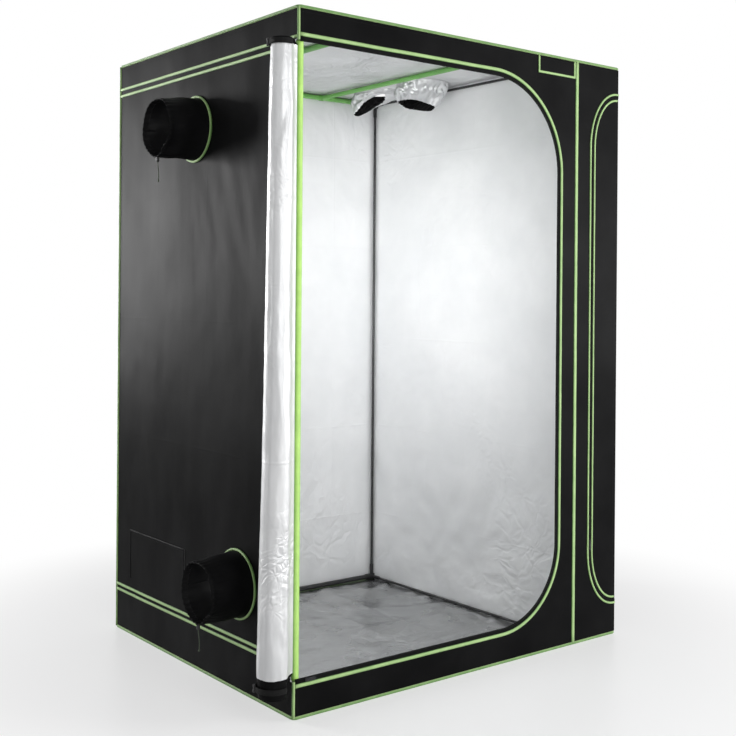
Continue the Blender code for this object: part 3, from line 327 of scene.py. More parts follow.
# The cover's panels: coated black canvas outside, laminated with silver film inside, cut flat and
# pulled tight over the frame. Each is one sheet, ruled fine enough to carry its slack and creases.
WALL_X = 0.6955
WALL_Y = 0.5655
ROOF_Z = 2.0255
SEAM_X = 0.476
CLOTH = 0.0012
GAP = 0.0003
WELD = 0.00001
EDGE = 0.0048
WALL_BOTTOM = 0.0093
WALL_TOP = 2.0207
CORNER_ROUND = 0.0072
PANEL_STEP = 0.022
SLACK_FADE = 0.11
STITCH_PITCH = 0.0042
STITCH_WIDTH = 0.0005
STITCH_FROM_EDGE = 0.0145
FOLD_LINE = 0.006
FACING_FRONT = Matrix.Rotation(math.radians(90), 4, "X")
FACING_SIDE = Matrix.Rotation(math.radians(90), 4, "Z") @ FACING_FRONT
UPRIGHT = Matrix.Identity(4)


def storage_folds(across, along, first, second):
    """The lines that folding for the box leaves in flat cloth. Each way has its start and its pitch."""
    ruled = [(flat + start).to_nearest(pitch).eased(0.0, FOLD_LINE, 1.0, 0.0)
             for flat, (start, pitch) in ((across, first), (along, second))]
    return ruled[0] + ruled[1]


def canvas_finish(name, light=1.0):
    """Coated Oxford canvas: a tight weave, soft handling marks, storage folds and rows of stitches."""
    canvas = Finish(name, Specular_IOR_Level=0.022)
    flat = canvas.space("UV")
    across, along, _ = canvas.axes(flat)
    place = canvas.space("Object")
    x, y, z = canvas.axes(place)
    threads = weave(across, along, 0.0016)
    slubs = canvas.mottle(canvas.scaled(flat, (60.0, 700.0, 1.0)), 1.0, 1.0)
    marks = canvas.mottle(place, 3.2, 5.0, 0.6)
    cloud = canvas.mottle(place, 1.3, 3.0)
    folds = canvas.mottle(canvas.scaled(place, (1.0, 1.0, 0.6)), 4.2, 2.0, 0.38)
    stored = storage_folds(across, along, (0.06, 0.33), (0.11, 0.41))
    rows = [(edge - value - STITCH_FROM_EDGE).without_sign() < STITCH_WIDTH
            for edge, value in ((WALL_X, x.without_sign()), (WALL_Y, y.without_sign()), (ROOF_Z, z))]
    stitches = (rows[0] + rows[1] + rows[2]) * wave(x + y + z, STITCH_PITCH).eased(-0.6, 0.2)
    shade = marks.eased(0.3, 0.7, 0.0, 0.7) + slubs * 0.06 + threads * 0.10
    dark, pale = shaded((0.0026, 0.0026, 0.0028), light), shaded((0.0085, 0.0085, 0.0088), light)
    colour = canvas.mixed(stitches, canvas.mixed(shade, dark, pale), (0.020, 0.020, 0.021))
    handled = canvas.mottle(canvas.scaled(place, (1.0, 1.0, 0.4)), 20.0, 3.0, 0.5)
    under = canvas.raised(handled, 0.0006, canvas.raised(folds, 0.010))
    under = canvas.raised(stored * marks.eased(0.35, 0.6), 0.00012, under)
    under = canvas.raised(threads + slubs * 0.6, 0.00003, under)
    canvas.give(Base_Color=colour, Roughness=cloud.eased(0.25, 0.75, 0.42, 0.52),
                Normal=canvas.raised(stitches, 0.0007, under))
    return canvas


def film_finish(name, creases, painted_shade_tone=1.0, metal=0.3, roughness=0.34, above=1.0, dents=17.0, smooth=0.52):
    """Silver film on cloth: bright and half matt, with soft dents, a few sharp creases and folds.

    creases is how deep they are, and tone how bright it is: below 1 it is painted shade, darkening this
    copy of the film where that part of the tent should look less lit. above is the share of its crumples
    that it keeps higher up, where it hangs tight. dents is how many crumples it has in a metre, and smooth
    the share of it that has none.
    """
    film = Finish(name, Specular_IOR_Level=0.5, Metallic=metal)
    flat = film.space("UV")
    across, along, _ = film.axes(flat)
    place = film.space("Object")
    wander = film.mottle(place, 2.6, 4.0, 0.55)
    patches = film.mottle(place, 1.7, 2.0).eased(smooth, smooth + 0.14)
    soft = film.mottle(place, 5.0, 2.0, 0.4)
    stray = film.mottle(place, 2.2, 4.0, output="Color")
    bent = film.node("ShaderNodeVectorMath", {"operation": "MULTIPLY_ADD"},
                     {0: stray, 1: (0.55, 0.55, 0.55), 2: place})
    stored = storage_folds(across, along, (0.05, 0.31), (0.08, 0.37))
    scrim = weave(across, along, 0.0022)
    loose = film.axes(place)[2].eased(1.0, 0.2, above, 1.0)
    sharp = film.cells(bent, 4.5).eased(0.0, 0.18) * wander.eased(0.45, 0.7) * loose
    crumple = film.cells(bent, dents).eased(0.0, 0.3) * patches * loose
    under = film.raised(sharp, 0.0022 * creases, film.raised(soft, 0.010 * creases))
    under = film.raised(crumple, 0.0011 * creases, under)
    under = film.raised(stored * wander.eased(0.35, 0.65), 0.0005, under)
    # Painted shade: both ends of the film's colour are scaled down by tone.
    dull, bright = shaded((0.80, 0.81, 0.82), painted_shade_tone), shaded((0.92, 0.925, 0.93), painted_shade_tone)
    film.give(Base_Color=film.mixed(wander.eased(0.3, 0.7) * 0.8 + scrim * 0.2, dull, bright),
              Roughness=wander.eased(0.3, 0.7, roughness, roughness + 0.14),
              Normal=film.raised(scrim, 0.0001, under))
    return film


canvas = canvas_finish("black canvas")
film = film_finish("silver film", 1.35, metal=0.24, roughness=0.36, above=0.5)


def arc(centre, radii, start, end, steps=24):
    turns = [math.radians(start + (end - start) * step / steps) for step in range(steps + 1)]
    return [(centre[0] + radii[0] * math.cos(turn), centre[1] + radii[1] * math.sin(turn)) for turn in turns]


def circle(centre, radius, steps=64):
    return arc(centre, (radius, radius), 0, 360, steps)[:-1]


def rectangle(low, high):
    return [low, (high[0], low[1]), high, (low[0], high[1])]


def rounded_rectangle(low, high, radius):
    corners = [((low[0] + radius, low[1] + radius), 180), ((high[0] - radius, low[1] + radius), 270),
               ((high[0] - radius, high[1] - radius), 0), ((low[0] + radius, high[1] - radius), 90)]
    return [point for centre, turn in corners for point in arc(centre, (radius, radius), turn, turn + 90, 6)]


def outline_area(points):
    pairs = zip(points, points[1:] + points[:1])
    return abs(sum(a[0] * b[1] - b[0] * a[1] for a, b in pairs)) / 2


def cut_cloth(outlines, step=PANEL_STEP):
    """Cloth cut to an outline less its holes, ruled into a grid, with its UV map in metres."""
    shape = bmesh.new()
    for outline in outlines:
        corners = [shape.verts.new((a, b, 0)) for a, b in outline]
        for first, second in zip(corners, corners[1:] + corners[:1]):
            shape.edges.new((first, second))
    bmesh.ops.triangle_fill(shape, use_beauty=True, use_dissolve=True, edges=shape.edges[:], normal=(0, 0, 1))
    for axis in (0, 1):
        reach = [corner[axis] for corner in outlines[0]]
        width = max(reach) - min(reach)
        count = math.ceil(width / step)
        direction = Vector((0, 0, 0))
        direction[axis] = 1.0
        for line in range(1, count):
            cut = min(reach) + width * line / count
            bmesh.ops.bisect_plane(shape, geom=shape.verts[:] + shape.edges[:] + shape.faces[:], dist=WELD,
                                   plane_co=direction * cut, plane_no=direction)
    chart = shape.loops.layers.uv.new("cloth")
    for face in shape.faces:
        if face.normal.z < 0:
            face.normal_flip()
        for corner in face.loops:
            corner[chart].uv = corner.vert.co.xy
    return shape


def ripple(x, y, z):
    return noise.noise(Vector((x, y, z)))


def smooth_step(share):
    return share * share * (3 - 2 * share)


def bell(value, middle, width):
    """1 at the middle, falling away smoothly to both sides."""
    return math.exp(-((value - middle) / width) ** 2)


def ruffle(shape, height, fade=SLACK_FADE):
    """Moves the cloth off its plane by height(a, b), which fades out towards every cut edge."""
    rim = [point for point in shape.verts if point.is_boundary]
    edge = kdtree.KDTree(len(rim))
    for index, point in enumerate(rim):
        edge.insert(point.co, index)
    edge.balance()
    for point in [point for point in shape.verts if not point.is_boundary]:
        share = min(1.0, edge.find(point.co)[2] / fade)
        point.co.z += height(point.co.x, point.co.y) * smooth_step(share)


def slack(seed, broad=0.004, folds=0.0018, lift=0.0):
    """The slack of a tight panel: broad waves and long shallow folds between its corners."""
    def height(a, b):
        swell = ripple(1.7 * a, 1.1 * b, seed) * broad
        bent = ripple(0.9 * a, 0.9 * b, seed + 7.0)
        ridge = 1 - abs(ripple(5.0 * a + 2.0 * bent, 1.6 * b + 3.0 * bent, seed + 3.0)) * 2
        return swell + max(0.0, ridge) ** 3 * folds + lift
    return height


def crumpled(seed, size, depth):
    """Hard little folds, as where film was trodden on or packed away."""
    def height(a, b):
        place = Vector((a * size, b * size, seed))
        place += 0.35 * Vector((noise.noise(place * 0.7), noise.noise(place * 0.7 + Vector((5, 1, 2))), 0))
        near, next_near = noise.voronoi(place)[0][:2]
        return (0.5 - (next_near - near)) * depth
    return height


def hang_panel(name, outlines, facing, place, height, finishes, node, body="tent", step=PANEL_STEP,
               fade=SLACK_FADE):
    """Cuts a panel, lays its slack into it, stands it in its place and gives it its thickness.

    height(a, b) is the slack. The first finish faces the way the panel does, the last one back.
    """
    shape = cut_cloth(outlines, step)
    ruffle(shape, height, fade)
    bmesh.ops.transform(shape, matrix=Matrix.Translation(place) @ facing, verts=shape.verts)
    cut_edges = [edge.is_boundary for edge in shape.edges]
    piece = add_piece(name, shape, finishes, body, [node])
    piece.data.edges.foreach_set("use_edge_sharp", cut_edges)
    thicken(piece, CLOTH, back=len(finishes) - 1)
    outer, holes = outlines[0], outlines[1:]
    area = outline_area(outer) - sum(outline_area(hole) for hole in holes)
    size = [max(p[axis] for p in outer) - min(p[axis] for p in outer) for axis in (0, 1)]
    return piece


side_low, side_high = -WALL_Y + EDGE, WALL_Y - EDGE
left_low, right_high = -WALL_X + EDGE, WALL_X - EDGE
lids = rounded_rectangle((left_low, side_low), (right_high, side_high), CORNER_ROUND)
# Each roof vent's sleeve has dropped by drop and closed to a flat mouth that lies at turn, is
# narrower at one end by taper, has slid by shift, leans by tilt and is pulled up on the doorway's
# side by lift.
ROOF_VENTS = {
    "rear": {"place": (0.33, 0.355), "drop": 0.074, "half_length": 0.062, "half_width": 0.034,
             "turn": -38.0, "tilt": 0.038, "shift": (-0.044, -0.002), "lift": 0.038, "taper": -0.15},
    "front": {"place": (0.34, 0.095), "drop": 0.102, "half_length": 0.070, "half_width": 0.030,
              "turn": -52.0, "tilt": -0.016, "shift": (-0.024, 0.008), "lift": 0.032, "taper": 0.60},
}
VENT_RADIUS = 0.100
roof_holes = [circle(vent["place"], VENT_RADIUS) for vent in ROOF_VENTS.values()]


def held_at_seam(height):
    """The same slack, but none along the line where the partition is sewn on."""
    def held(a, b):
        return height(a, b) * smooth_step(min(1.0, abs(a - SEAM_X) / SLACK_FADE))
    return held


roof_slack = held_at_seam(slack(11.0, 0.005, 0.002, -0.003))
# The roof's film is kept at 0.80 of its full brightness: painted shade.
hang_panel("roof_cloth", [lids] + roof_holes, UPRIGHT, (0, 0, ROOF_Z), roof_slack,
           [canvas, film_finish("silver roof film", 2.4, 0.80, 0.55, 0.30)], "roof_panel")

rear_outline = rectangle((left_low, WALL_BOTTOM), (right_high, WALL_TOP))
rear_slack = held_at_seam(slack(23.0, 0.004, 0.003))
rear_cloth = hang_panel("rear_cloth", [rear_outline], FACING_FRONT, (0, WALL_Y, 0), rear_slack,
                        [film, canvas], "rear_wall")

PAST_FRAME = 0.5646
right_outline = rectangle((-PAST_FRAME, WALL_BOTTOM), (side_high, WALL_TOP))
right_cloth = hang_panel("right_cloth", [right_outline], FACING_SIDE, (WALL_X, 0, 0), slack(31.0),
                         [canvas, film], "right_wall")

# The left wall is cut back beside the near post, where the green sleeve takes its place.
WINDOW_LOW = (0.069, 0.200)
WINDOW_HIGH = (0.462, 0.369)
WINDOW_BORDER = 0.022
SEWN_TO = -0.5494
CUT_BACK_LOW, CUT_BACK_HIGH = 0.106, 1.933
left_outline = [(side_low, WALL_BOTTOM), (side_high, WALL_BOTTOM), (side_high, WALL_TOP),
                (side_low, WALL_TOP), (side_low, CUT_BACK_HIGH), (SEWN_TO, CUT_BACK_HIGH),
                (SEWN_TO, CUT_BACK_LOW), (side_low, CUT_BACK_LOW)]
left_holes = [circle(vent, VENT_RADIUS) for vent in LEFT_VENTS.values()]
left_holes.append(rectangle((WINDOW_LOW[0] + WINDOW_BORDER, WINDOW_LOW[1] + WINDOW_BORDER),
                            (WINDOW_HIGH[0] - WINDOW_BORDER, WINDOW_HIGH[1] - WINDOW_BORDER)))


def left_slack(a, b):
    """The panel's slack, with slanting pulls that run down from under the upper sleeve."""
    along = (a + 0.20) * -0.45 + (b - 1.46) * -0.89
    across = (a + 0.20) * 0.89 + (b - 1.46) * -0.45
    fade = bell(along, 0.0, 0.19) * bell(across, 0.0, 0.13)
    pull = math.cos(across * TURN / 0.075 + 4.0 * ripple(3 * along, 5 * across, 2.0))
    return slack(43.0, 0.004, 0.0007)(a, b) + 0.0006 * fade * pull


left_cloth = hang_panel("left_cloth", [left_outline] + left_holes, FACING_SIDE, (-WALL_X, 0, 0), left_slack,
                        [film, canvas], "left_wall", step=0.014)

# The doorways' edges. The main opening is a D with its straight side at the near corner, and the
# side opening a taller, narrower D whose straight side is the front right corner.
DOOR_TOP = 1.946
DOOR_FOOT = 0.096
DOOR_RIGHT = 0.400
DOOR_TOP_ROUND, DOOR_FOOT_ROUND = 0.32, 0.27
DOOR_HEM, SIDE_HEM = 0.020, 0.0125
SIDE_LEFT = 0.549
SIDE_TOP = 1.932
SIDE_FOOT = 0.112
SIDE_ROUND = (0.140, 0.200)
FRONT_RIGHT = 0.6961


def doorway(inset):
    """The main doorway's edge from the near corner along its top, down its right side and back."""
    upper, lower = DOOR_TOP_ROUND - inset, DOOR_FOOT_ROUND - inset
    path = [(left_low, DOOR_TOP - inset)]
    path += arc((DOOR_RIGHT - DOOR_TOP_ROUND, DOOR_TOP - DOOR_TOP_ROUND), (upper, upper), 90, 0)
    path += arc((DOOR_RIGHT - DOOR_FOOT_ROUND, DOOR_FOOT + DOOR_FOOT_ROUND), (lower, lower), 0, -90)
    return path + [(left_low, DOOR_FOOT + inset)]


def side_doorway(inset, right):
    """The side doorway's edge from the front right corner along its top, down its left and back."""
    middle = SIDE_LEFT + SIDE_ROUND[0]
    radii = (SIDE_ROUND[0] - inset, SIDE_ROUND[1] - inset)
    path = [(right, SIDE_TOP - inset)]
    path += arc((middle, SIDE_TOP - SIDE_ROUND[1]), radii, 90, 180)
    path += arc((middle, SIDE_FOOT + SIDE_ROUND[1]), radii, 180, 270)
    return path + [(right, SIDE_FOOT + inset)]


opening = doorway(DOOR_HEM)
half = len(opening) // 2
front_parts = {
    "top": opening[:half] + [(SEAM_X, opening[half - 1][1]), (SEAM_X, WALL_TOP), (left_low, WALL_TOP)],
    "middle": rectangle(opening[half], (SEAM_X, opening[half - 1][1])),
    "foot": opening[half:] + [(left_low, WALL_BOTTOM), (SEAM_X, WALL_BOTTOM), (SEAM_X, opening[half][1])],
    "side": [(SEAM_X, WALL_BOTTOM), (FRONT_RIGHT, WALL_BOTTOM),
             *reversed(side_doorway(SIDE_HEM, FRONT_RIGHT)), (FRONT_RIGHT, WALL_TOP), (SEAM_X, WALL_TOP)],
}
for part, outline in front_parts.items():
    hang_panel(f"front_cloth_{part}", [outline], FACING_FRONT, (0, -WALL_Y, 0), slack(57.0, 0.0008, 0.0003),
               [canvas, film], "front_panel", fade=0.05)


def partition_slack(a, b):
    """Nearly flat above, loose and creased towards its foot."""
    loose = max(0.0, min(1.0, (0.9 - b) / 0.7))
    return slack(63.0, 0.004, 0.003)(a, b) + loose * crumpled(5.0, 5.5, 0.014)(a, b)


# It is notched round the tees in its four corners.
notch, edge = 0.5406, PAST_FRAME
low, foot, head, high = 0.0015, 0.0270, 2.0001, 2.0246
partition_outline = [(-notch, low), (notch, low), (notch, foot), (edge, foot), (edge, head),
                     (notch, head), (notch, high), (-notch, high), (-notch, head), (-edge, head),
                     (-edge, foot), (-notch, foot)]
hang_panel("partition_cloth", [partition_outline], FACING_SIDE, (SEAM_X, 0, 0), partition_slack, [film],
           "partition_wall", step=0.018)


# The floor: the same laminate laid silver side up. It lies loose, so it is wrinkled all over.
def floor_wrinkles(a, b):
    ridge = 1 - abs(ripple(2.2 * a + 1.4 * b, 7.0 * b - 1.5 * a, 3.0)) * 2.2
    cross = 1 - abs(ripple(6.0 * a, 2.5 * b, 9.0)) * 2.6
    hard = crumpled(15.0, 6.0, 0.006)(a, b)
    return 0.002 + max(0.0, ridge) ** 2 * 0.007 + max(0.0, cross) ** 3 * 0.004 + max(0.0, hard)


# The floor's film is kept at half its full brightness: painted shade and painted reflection.
hang_panel("floor_cloth", [lids], UPRIGHT, (0, 0, CLOTH / 2), floor_wrinkles,
           [film_finish("silver floor film", 1.8, 0.50, 0.85, 0.20), canvas], "floor_panel",
           step=0.014, fade=0.06)


# The piping and binding: green woven tape sewn round a cord along the tent's edges, and flat
# piped stripes over the front and rear seams and round the walls.
PIPING_RADIUS = 0.0045
PIPING_LOW, PIPING_HIGH = 0.0055, 2.0245
PIPING_ROUND = 0.012
STRIP_WIDTH = 0.0100
SEAM_WIDTH = 0.0150
STRIP_HEIGHT = 0.003
STRIPE_HEIGHTS = (0.141, 0.160, 1.918, 1.941)
STRIPE_START = -0.546
CHART_WIDTH = 0.03
SLEEVE_LOW = 0.109
SLEEVE_HIGH = 1.930


def woven_green(name, dark, pale, roughness, girth, shine=0.5):
    """Woven tape: a fine slanting twill, a painted highlight on top, and a row of stitches along each side.
    """
    tape = Finish(name, Specular_IOR_Level=shine, Sheen_Weight=0.12, Sheen_Roughness=0.4)
    across, along, _ = tape.axes(tape.space("UV"))
    place = tape.space("Object")
    twill = wave(across + along, 0.0011) * 0.5 + 0.5
    worn = tape.mottle(place, 16.0, 4.0, 0.6)
    stitch = wave(along, 0.0036).eased(-0.7, 0.1)
    # Painted highlight: the colour pales where this sine peaks, on the top of a bead and in two bands round a
    # tube.
    painted_crest_highlight = wave(across, girth).without_sign().eased(0.45, 1.0)
    tape.give(Base_Color=tape.mixed(twill * 0.12 + worn.eased(0.25, 0.75) * 0.28 + painted_crest_highlight * 0.6, dark, pale),
              Roughness=worn * 0.2 + roughness,
              Normal=tape.raised(twill, 0.00015, tape.raised(stitch, 0.0002)))
    return tape


green_tape = woven_green("green woven tape", (0.07, 0.20, 0.03), (0.40, 0.58, 0.24), 0.40, CHART_WIDTH)


def bent_grid(columns, rows, place, measure):
    """A grid bent by place(column share, row share), its UV map in metres from measure."""
    shape = bmesh.new()
    bmesh.ops.create_grid(shape, x_segments=columns, y_segments=rows, size=0.5)
    chart = shape.loops.layers.uv.new("cloth")
    for face in shape.faces:
        for corner in face.loops:
            corner[chart].uv = measure(corner.vert.co.x + 0.5, corner.vert.co.y + 0.5)
    for point in shape.verts:
        point.co = place(point.co.x + 0.5, point.co.y + 0.5)
    bmesh.ops.remove_doubles(shape, verts=shape.verts, dist=WELD)
    return shape


def tube(columns, rows, place, girth, length):
    """A grid bent round into a tube of cloth, faces outwards."""
    shape = bent_grid(columns, rows, place, lambda column, row: (column * girth, row * length))
    bmesh.ops.recalc_face_normals(shape, faces=shape.faces)
    return shape


def resampled(points, step):
    """The same path with points at most step apart."""
    path = [Vector(points[0])]
    for end in points[1:]:
        start, end = path[-1], Vector(end)
        pieces = max(1, math.ceil((end - start).length / step))
        path += [start.lerp(end, piece / pieces) for piece in range(1, pieces + 1)]
    return path


def sweep(points, up, section, columns, closed=False, wobble=0.0):
    """A section drawn along a path. up is the way the section's second axis points."""
    path = [Vector(point) for point in points]
    if closed:
        path = path + path[:1]
    lengths = [0.0]
    for first, second in zip(path, path[1:]):
        lengths.append(lengths[-1] + (second - first).length)
    rows = len(lengths) - 1
    up = Vector(up)

    def side_at(index):
        before = path[index - 1] if index else (path[-2] if closed else path[0])
        after = path[index + 1] if index < rows else (path[1] if closed else path[-1])
        direction = (after - before).normalized()
        here = path[index]
        into = (here - before).normalized() if (here - before).length > WELD else direction
        stretch = 1 / max(0.5, direction.dot(into))
        return direction.cross(up).normalized() * stretch

    sides = [side_at(index) for index in range(rows + 1)]

    def place(column, row):
        index = round(row * rows)
        across, rise = section(column)
        sway = wobble * noise.noise(path[index] * 9.0)
        return path[index] + sides[index] * (across + sway) + up * rise

    shape = bent_grid(columns, rows, place,
                      lambda column, row: (column * CHART_WIDTH, lengths[round(row * rows)]))
    bmesh.ops.holes_fill(shape, edges=[edge for edge in shape.edges if edge.is_boundary], sides=columns)
    bmesh.ops.recalc_face_normals(shape, faces=shape.faces)
    return shape


def squared(share, side_power, top_power):
    """A point round a section of half width and half height 1, the squarer the lower its powers."""
    side, top = math.cos(TURN * share), math.sin(TURN * share)
    return math.copysign(abs(side) ** side_power, side), math.copysign(abs(top) ** top_power, top)


def round_section(radius):
    return lambda share: (radius * math.cos(TURN * share), radius * math.sin(TURN * share))


def ridge_section(width, height, sink=0.0002):
    """A flat-backed bead: sewn down at both sides and round on top."""
    def section(share):
        side, top = squared(share, 0.8, 1.0)
        return side * width / 2, max(-sink, top * height)
    return section


def band_section(width, thickness):
    """A flat tape with rounded edges, lying on its seat."""
    def section(share):
        side, top = squared(share, 0.25, 0.6)
        return side * width / 2, thickness / 2 + top * thickness / 2
    return section


def strap_section(width, thickness):
    """A flat strap on edge, with its middle on the path."""
    def section(share):
        side, top = squared(share, 0.5, 0.3)
        return side * thickness / 2, top * width / 2
    return section


def joined(shapes):
    """Several shapes as one."""
    whole = bmesh.new()
    for shape in shapes:
        carrier = new_mesh("carrier", shape)
        whole.from_mesh(carrier)
        bpy.data.meshes.remove(carrier)
    return whole


def on_front(points, y):
    return [(a, y, b) for a, b in points]


rim = rounded_rectangle((-WALL_X, -WALL_Y), (WALL_X, WALL_Y), PIPING_ROUND)
piping = round_section(PIPING_RADIUS)
runs = []
for z in (PIPING_RADIUS, ROOF_Z):
    loop = resampled([(x, y, z) for x, y in rim + rim[:1]], 0.04)[:-1]
    runs.append(sweep(loop, (0, 0, 1), piping, 14, closed=True, wobble=0.0006))
uprights = [(-WALL_X, WALL_Y, PIPING_LOW, PIPING_HIGH), (WALL_X, WALL_Y, PIPING_LOW, PIPING_HIGH),
            (-WALL_X, -WALL_Y, SLEEVE_HIGH, PIPING_HIGH), (-WALL_X, -WALL_Y, PIPING_LOW, SLEEVE_LOW)]
for x, y, low, high in uprights:
    path = resampled([(x, y, low), (x, y, high)], 0.03)
    runs.append(sweep(path, (0, 1, 0), piping, 14, wobble=0.0006))
add_piece("edge_piping_tape", joined(runs), [green_tape], "tent", ["edge_piping"])


def sewn_on(panel, points, out):
    """The points moved onto the panel's outer face, which bellies in and out between its edges."""
    corners = [point.co for point in panel.data.vertices]
    cloth = BVHTree.FromPolygons(corners, [face.vertices for face in panel.data.polygons])
    out = Vector(out)
    laid = []
    for point in points:
        found = cloth.ray_cast(point + out * SLACK_FADE, -out)[0]
        laid.append(found + out * CLOTH / 2 if found else point)
    return laid


outer_x, outer_y = WALL_X + CLOTH / 2, WALL_Y + CLOTH / 2
end_x, end_y = WALL_X - 0.001, WALL_Y - 0.001
strips = []
for side in (-1, 1):
    path = resampled([(SEAM_X, side * outer_y, PIPING_LOW), (SEAM_X, side * outer_y, PIPING_HIGH)], 0.03)
    strips.append(sweep(path, (0, side, 0), ridge_section(SEAM_WIDTH, STRIP_HEIGHT), 14, wobble=0.0005))
for z in STRIPE_HEIGHTS:
    start = -end_y if z > SLEEVE_HIGH else STRIPE_START
    left = [(-outer_x, start, z), (-outer_x, end_y, z)]
    rear = [(-end_x, outer_y, z), (end_x, outer_y, z)]
    right = [(outer_x, STRIPE_START, z), (outer_x, end_y, z)]
    for panel, ends, out in ((left_cloth, left, (-1, 0, 0)), (rear_cloth, rear, (0, 1, 0)),
                             (right_cloth, right, (1, 0, 0))):
        path = sewn_on(panel, resampled(ends, 0.02), out)
        strips.append(sweep(path, out, ridge_section(STRIP_WIDTH, STRIP_HEIGHT), 12, wobble=0.0004))
add_piece("seam_and_stripe_tape", joined(strips), [green_tape], "tent", ["edge_piping"])


# The post sleeve: bright green cloth sewn into a tube round the near post, with the door's hinge
# seam along it. It is pulled tight, so it only puckers a little along its length.
POST = (-0.6824, -0.5524)
SLEEVE_RADIUS = 0.0110
SLEEVE_GIRTH = 0.071
SLEEVE_CLOTH = 0.0011
HINGE_TURN = 205

# The post sleeve's cloth carries the same painted highlight, in two bands round the tube.
bright_green = woven_green("bright green cloth", (0.13, 0.36, 0.03), (0.50, 0.80, 0.19), 0.34,
                           SLEEVE_GIRTH, shine=0.6)


def spoke(turn, length=1.0, rise=0.0):
    """A vector that points out from an upright axis at a turn round it."""
    return Vector((length * math.cos(turn), length * math.sin(turn), rise))


def noise_round(turn, size, along):
    """Noise over a tube's surface, without a join where the turn closes."""
    return noise.noise(spoke(turn, size, along))


def sleeve_point(round_share, height_share):
    z = SLEEVE_LOW + (SLEEVE_HIGH - SLEEVE_LOW) * height_share
    turn = TURN * round_share
    pucker = 0.0005 * noise_round(turn, 2, 26 * z)
    seam = 0.0009 * bell(math.degrees(turn), HINGE_TURN, 9)
    return Vector((*POST, z)) + spoke(turn, SLEEVE_RADIUS + pucker + seam)


shape = tube(36, 240, sleeve_point, SLEEVE_GIRTH, SLEEVE_HIGH - SLEEVE_LOW)
sleeve = add_piece("post_sleeve_cloth", shape, [bright_green], "tent", ["post_sleeve"])
thicken(sleeve, SLEEVE_CLOTH, -1.0)


# The zips: a piped green edge sewn down beside a black tape with nylon coil teeth along it. The
# main door's half lies round the open doorway; the side door's two halves meet in a closed line.
FRONT_FACE = -WALL_Y - CLOTH / 2
SEWN_FACE = FRONT_FACE - GAP
SIDE_END = FRONT_RIGHT - GAP
OUT_OF_FRONT = Vector((0, -1, 0))
TOOTH_PITCH = 0.0030
TOOTH_WIDTH = 0.0014
TOOTH_HEIGHT = 0.0012

zip_tape = Finish("black zip tape", Specular_IOR_Level=0.03, Sheen_Weight=0.02)
across, along, _ = zip_tape.axes(zip_tape.space("UV"))
rib = (along * (TURN / 0.0013) + wave(across, 0.004) * 2.0).sine() * 0.5 + 0.5
stitched = ((across - 0.012).without_sign() < 0.0006) * wave(along, 0.004).eased(-0.5, 0.2)
zip_tape.give(Base_Color=zip_tape.mixed(rib, (0.0025, 0.0025, 0.0025), (0.008, 0.008, 0.008)), Roughness=0.6,
              Normal=zip_tape.raised(rib + stitched, 0.0003))
teeth_finish = Finish("black nylon teeth", Specular_IOR_Level=0.12)
grain = teeth_finish.mottle(teeth_finish.space("Object"), 600.0)
teeth_finish.give(Base_Color=teeth_finish.mixed(grain, (0.004, 0.004, 0.004), (0.012, 0.012, 0.012)),
                  Roughness=grain * 0.15 + 0.25)


def teeth(points, length, rise):
    """Short coil teeth across a path on the front, one every pitch."""
    shape = bmesh.new()
    path = [Vector(point) for point in points]
    size = Matrix.Diagonal((length, TOOTH_WIDTH, TOOTH_HEIGHT, 1.0))
    left_over = TOOTH_PITCH / 2
    for start, end in zip(path, path[1:]):
        run = end - start
        direction = run.normalized()
        turn = Matrix((direction.cross(OUT_OF_FRONT), direction, OUT_OF_FRONT)).transposed().to_4x4()
        at = left_over
        while at < run.length:
            middle = start + direction * at + OUT_OF_FRONT * (rise + TOOTH_HEIGHT / 2)
            bmesh.ops.create_cube(shape, size=1.0, matrix=Matrix.Translation(middle) @ turn @ size)
            at += TOOTH_PITCH
        left_over = at - run.length
    return shape


def sew_on_front(name, line, face, section, columns, finish, node, body="tent", wobble=0.0, step=0.02):
    """Draws a section along a line on the front: a bead, a tape or a binding."""
    shape = sweep(resampled(on_front(line, face), step), OUT_OF_FRONT, section, columns, wobble=wobble)
    add_piece(name, shape, [finish], body, [node])


def side_edge(inset):
    return side_doorway(inset, SIDE_END)


def sew_zip(door, edge, bead, bead_columns, wobble, tape_inset, tape, tape_columns, teeth_inset, length,
            rise):
    """The doorway's half of a zip. Each inset is how far its line lies inside the doorway's edge."""
    node = f"{door}_door_zip"
    sew_on_front(f"{door}_zip_bead", edge(0.0), SEWN_FACE, ridge_section(*bead), bead_columns, green_tape,
                 node, wobble=wobble)
    sew_on_front(f"{door}_zip_tape", edge(tape_inset), SEWN_FACE, band_section(*tape), tape_columns, zip_tape,
                 node)
    coil = teeth(resampled(on_front(edge(teeth_inset), SEWN_FACE), 0.02), length, rise)
    add_piece(f"{door}_zip_teeth", coil, [teeth_finish], "tent", [node])


sew_zip("main", doorway, bead=(0.012, 0.0038), bead_columns=16, wobble=0.0005, tape_inset=0.0125,
        tape=(0.0155, 0.0010), tape_columns=14, teeth_inset=0.0185, length=0.0035, rise=0.0006)
sew_zip("side", side_edge, bead=(0.008, 0.0029), bead_columns=14, wobble=0.0004, tape_inset=0.0078,
        tape=(0.0090, 0.0009), tape_columns=12, teeth_inset=0.0112, length=0.0026, rise=0.0005)


